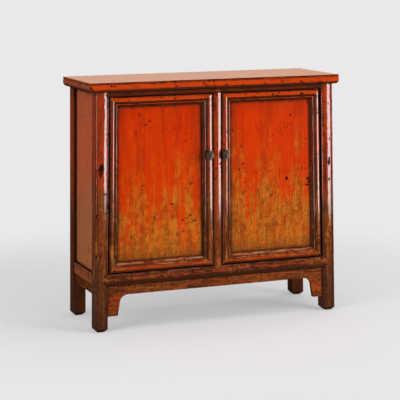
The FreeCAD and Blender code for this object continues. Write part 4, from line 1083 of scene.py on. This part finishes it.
def iron_finish(name, dark, brown, painted_lit_side=None):
    """Brown, waxed iron with pale edges, partly rubbed and partly a painted highlight. The painted lit
    side is the tone laid on the facets that face right and down, as painted light.
    """
    recipe = Finish(name)
    recipe.draw(IRON_PATTERNS, "Z", 0)
    recipe.colour = recipe.blend(recipe.step("rust", 0.42, 0.60), dark, brown)
    if painted_lit_side:
        # Painted light: the facets that face right and down are laid lighter.
        side = recipe.add("rightward", recipe.times("upward", -0.50))
        recipe.lay(painted_lit_side, 0.85, recipe.step(side, -0.10, 0.30))
    # Pale edges: partly rubbed iron and partly a painted highlight.
    recipe.lay(RUBBED_IRON_AND_HIGHLIGHT, 0.85, recipe.step(recipe.edge(IRON_RUB_AND_HIGHLIGHT_REACH), 0.30, 0.55),
               recipe.step("hammered", 0.40, 0.55))
    # Painted shade: black in the hollows of the iron.
    recipe.lay(SOOT_AND_SHADE_BLACK, 1, recipe.step(recipe.hollow(IRON_SHADE_REACH), 0.15, 0.45))
    rough = recipe.add(0.36, recipe.times("rust", 0.25))
    relief = recipe.add("hammered", "rust")
    return recipe.surface(rough, relief, IRON_RELIEF, specular=0.3, metallic=0.2)


iron_head = iron_finish("forged_iron", dark=(0.040, 0.022, 0.014, 1), brown=(0.090, 0.048, 0.028, 1),
                        painted_lit_side=(0.200, 0.135, 0.080, 1))
# The plates and washers: the same iron in darker tones, as painted shade.
iron_plate_in_shade = iron_finish("forged_iron_plate_shaded", dark=(0.022, 0.015, 0.012, 1),
                         brown=(0.050, 0.026, 0.016, 1))
# Their darker iron is painted shade.
print("iron for the knobs, and darker iron for their plates and washers")

# %% [markdown]
# ## Put the finishes on the timbers
#
# Each copy gets one finish. It could be given by hand, piece by piece, but the record already names
# each piece's slot, and a piece's own name says what kind of timber it is. Its longest side gives
# the direction of the grain. The words are tried in order, so the head of an apron comes before the
# apron, and a rail of the frame before a rail of a door.

# %% Put the finishes on
KIND_BY_WORD = {
    "top_": "top", "head_rail_front": "head", "base_rail_front": "base", "apron_head": "apron_head",
    "apron": "apron", "center_post": "center", "post_back": "back_post", "post_front": "post",
    "side_panel": "side", "base_rail": "base_side", "_rail": "door_rail", "_stile": "door",
}


def grain_of(name):
    """The axis that a timber's grain follows: its longest side."""
    low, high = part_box(name)
    sizes = high - low
    return "XYZ"[list(sizes).index(max(sizes))]


def finish_for(name):
    """Choose a timber's finish by its slot in the record and by what it is."""
    if slot_of[name] == "iron":
        return iron_head if name.endswith("knob") else iron_plate_in_shade
    if slot_of[name] == "door_panel_lacquer":
        return panel_finishes["left" if "left" in name else "right"]
    if slot_of[name] == "bare_wood":
        return finishes["bare", grain_of(name)]
    kind = next(kind for word, kind in KIND_BY_WORD.items() if word in name)
    return finish_of(kind, grain_of(name))


for name, piece in worn.items():
    piece.data.materials.append(finish_for(name))
print("finishes on", len(worn), "pieces:", len(finishes), "kinds with their grain")
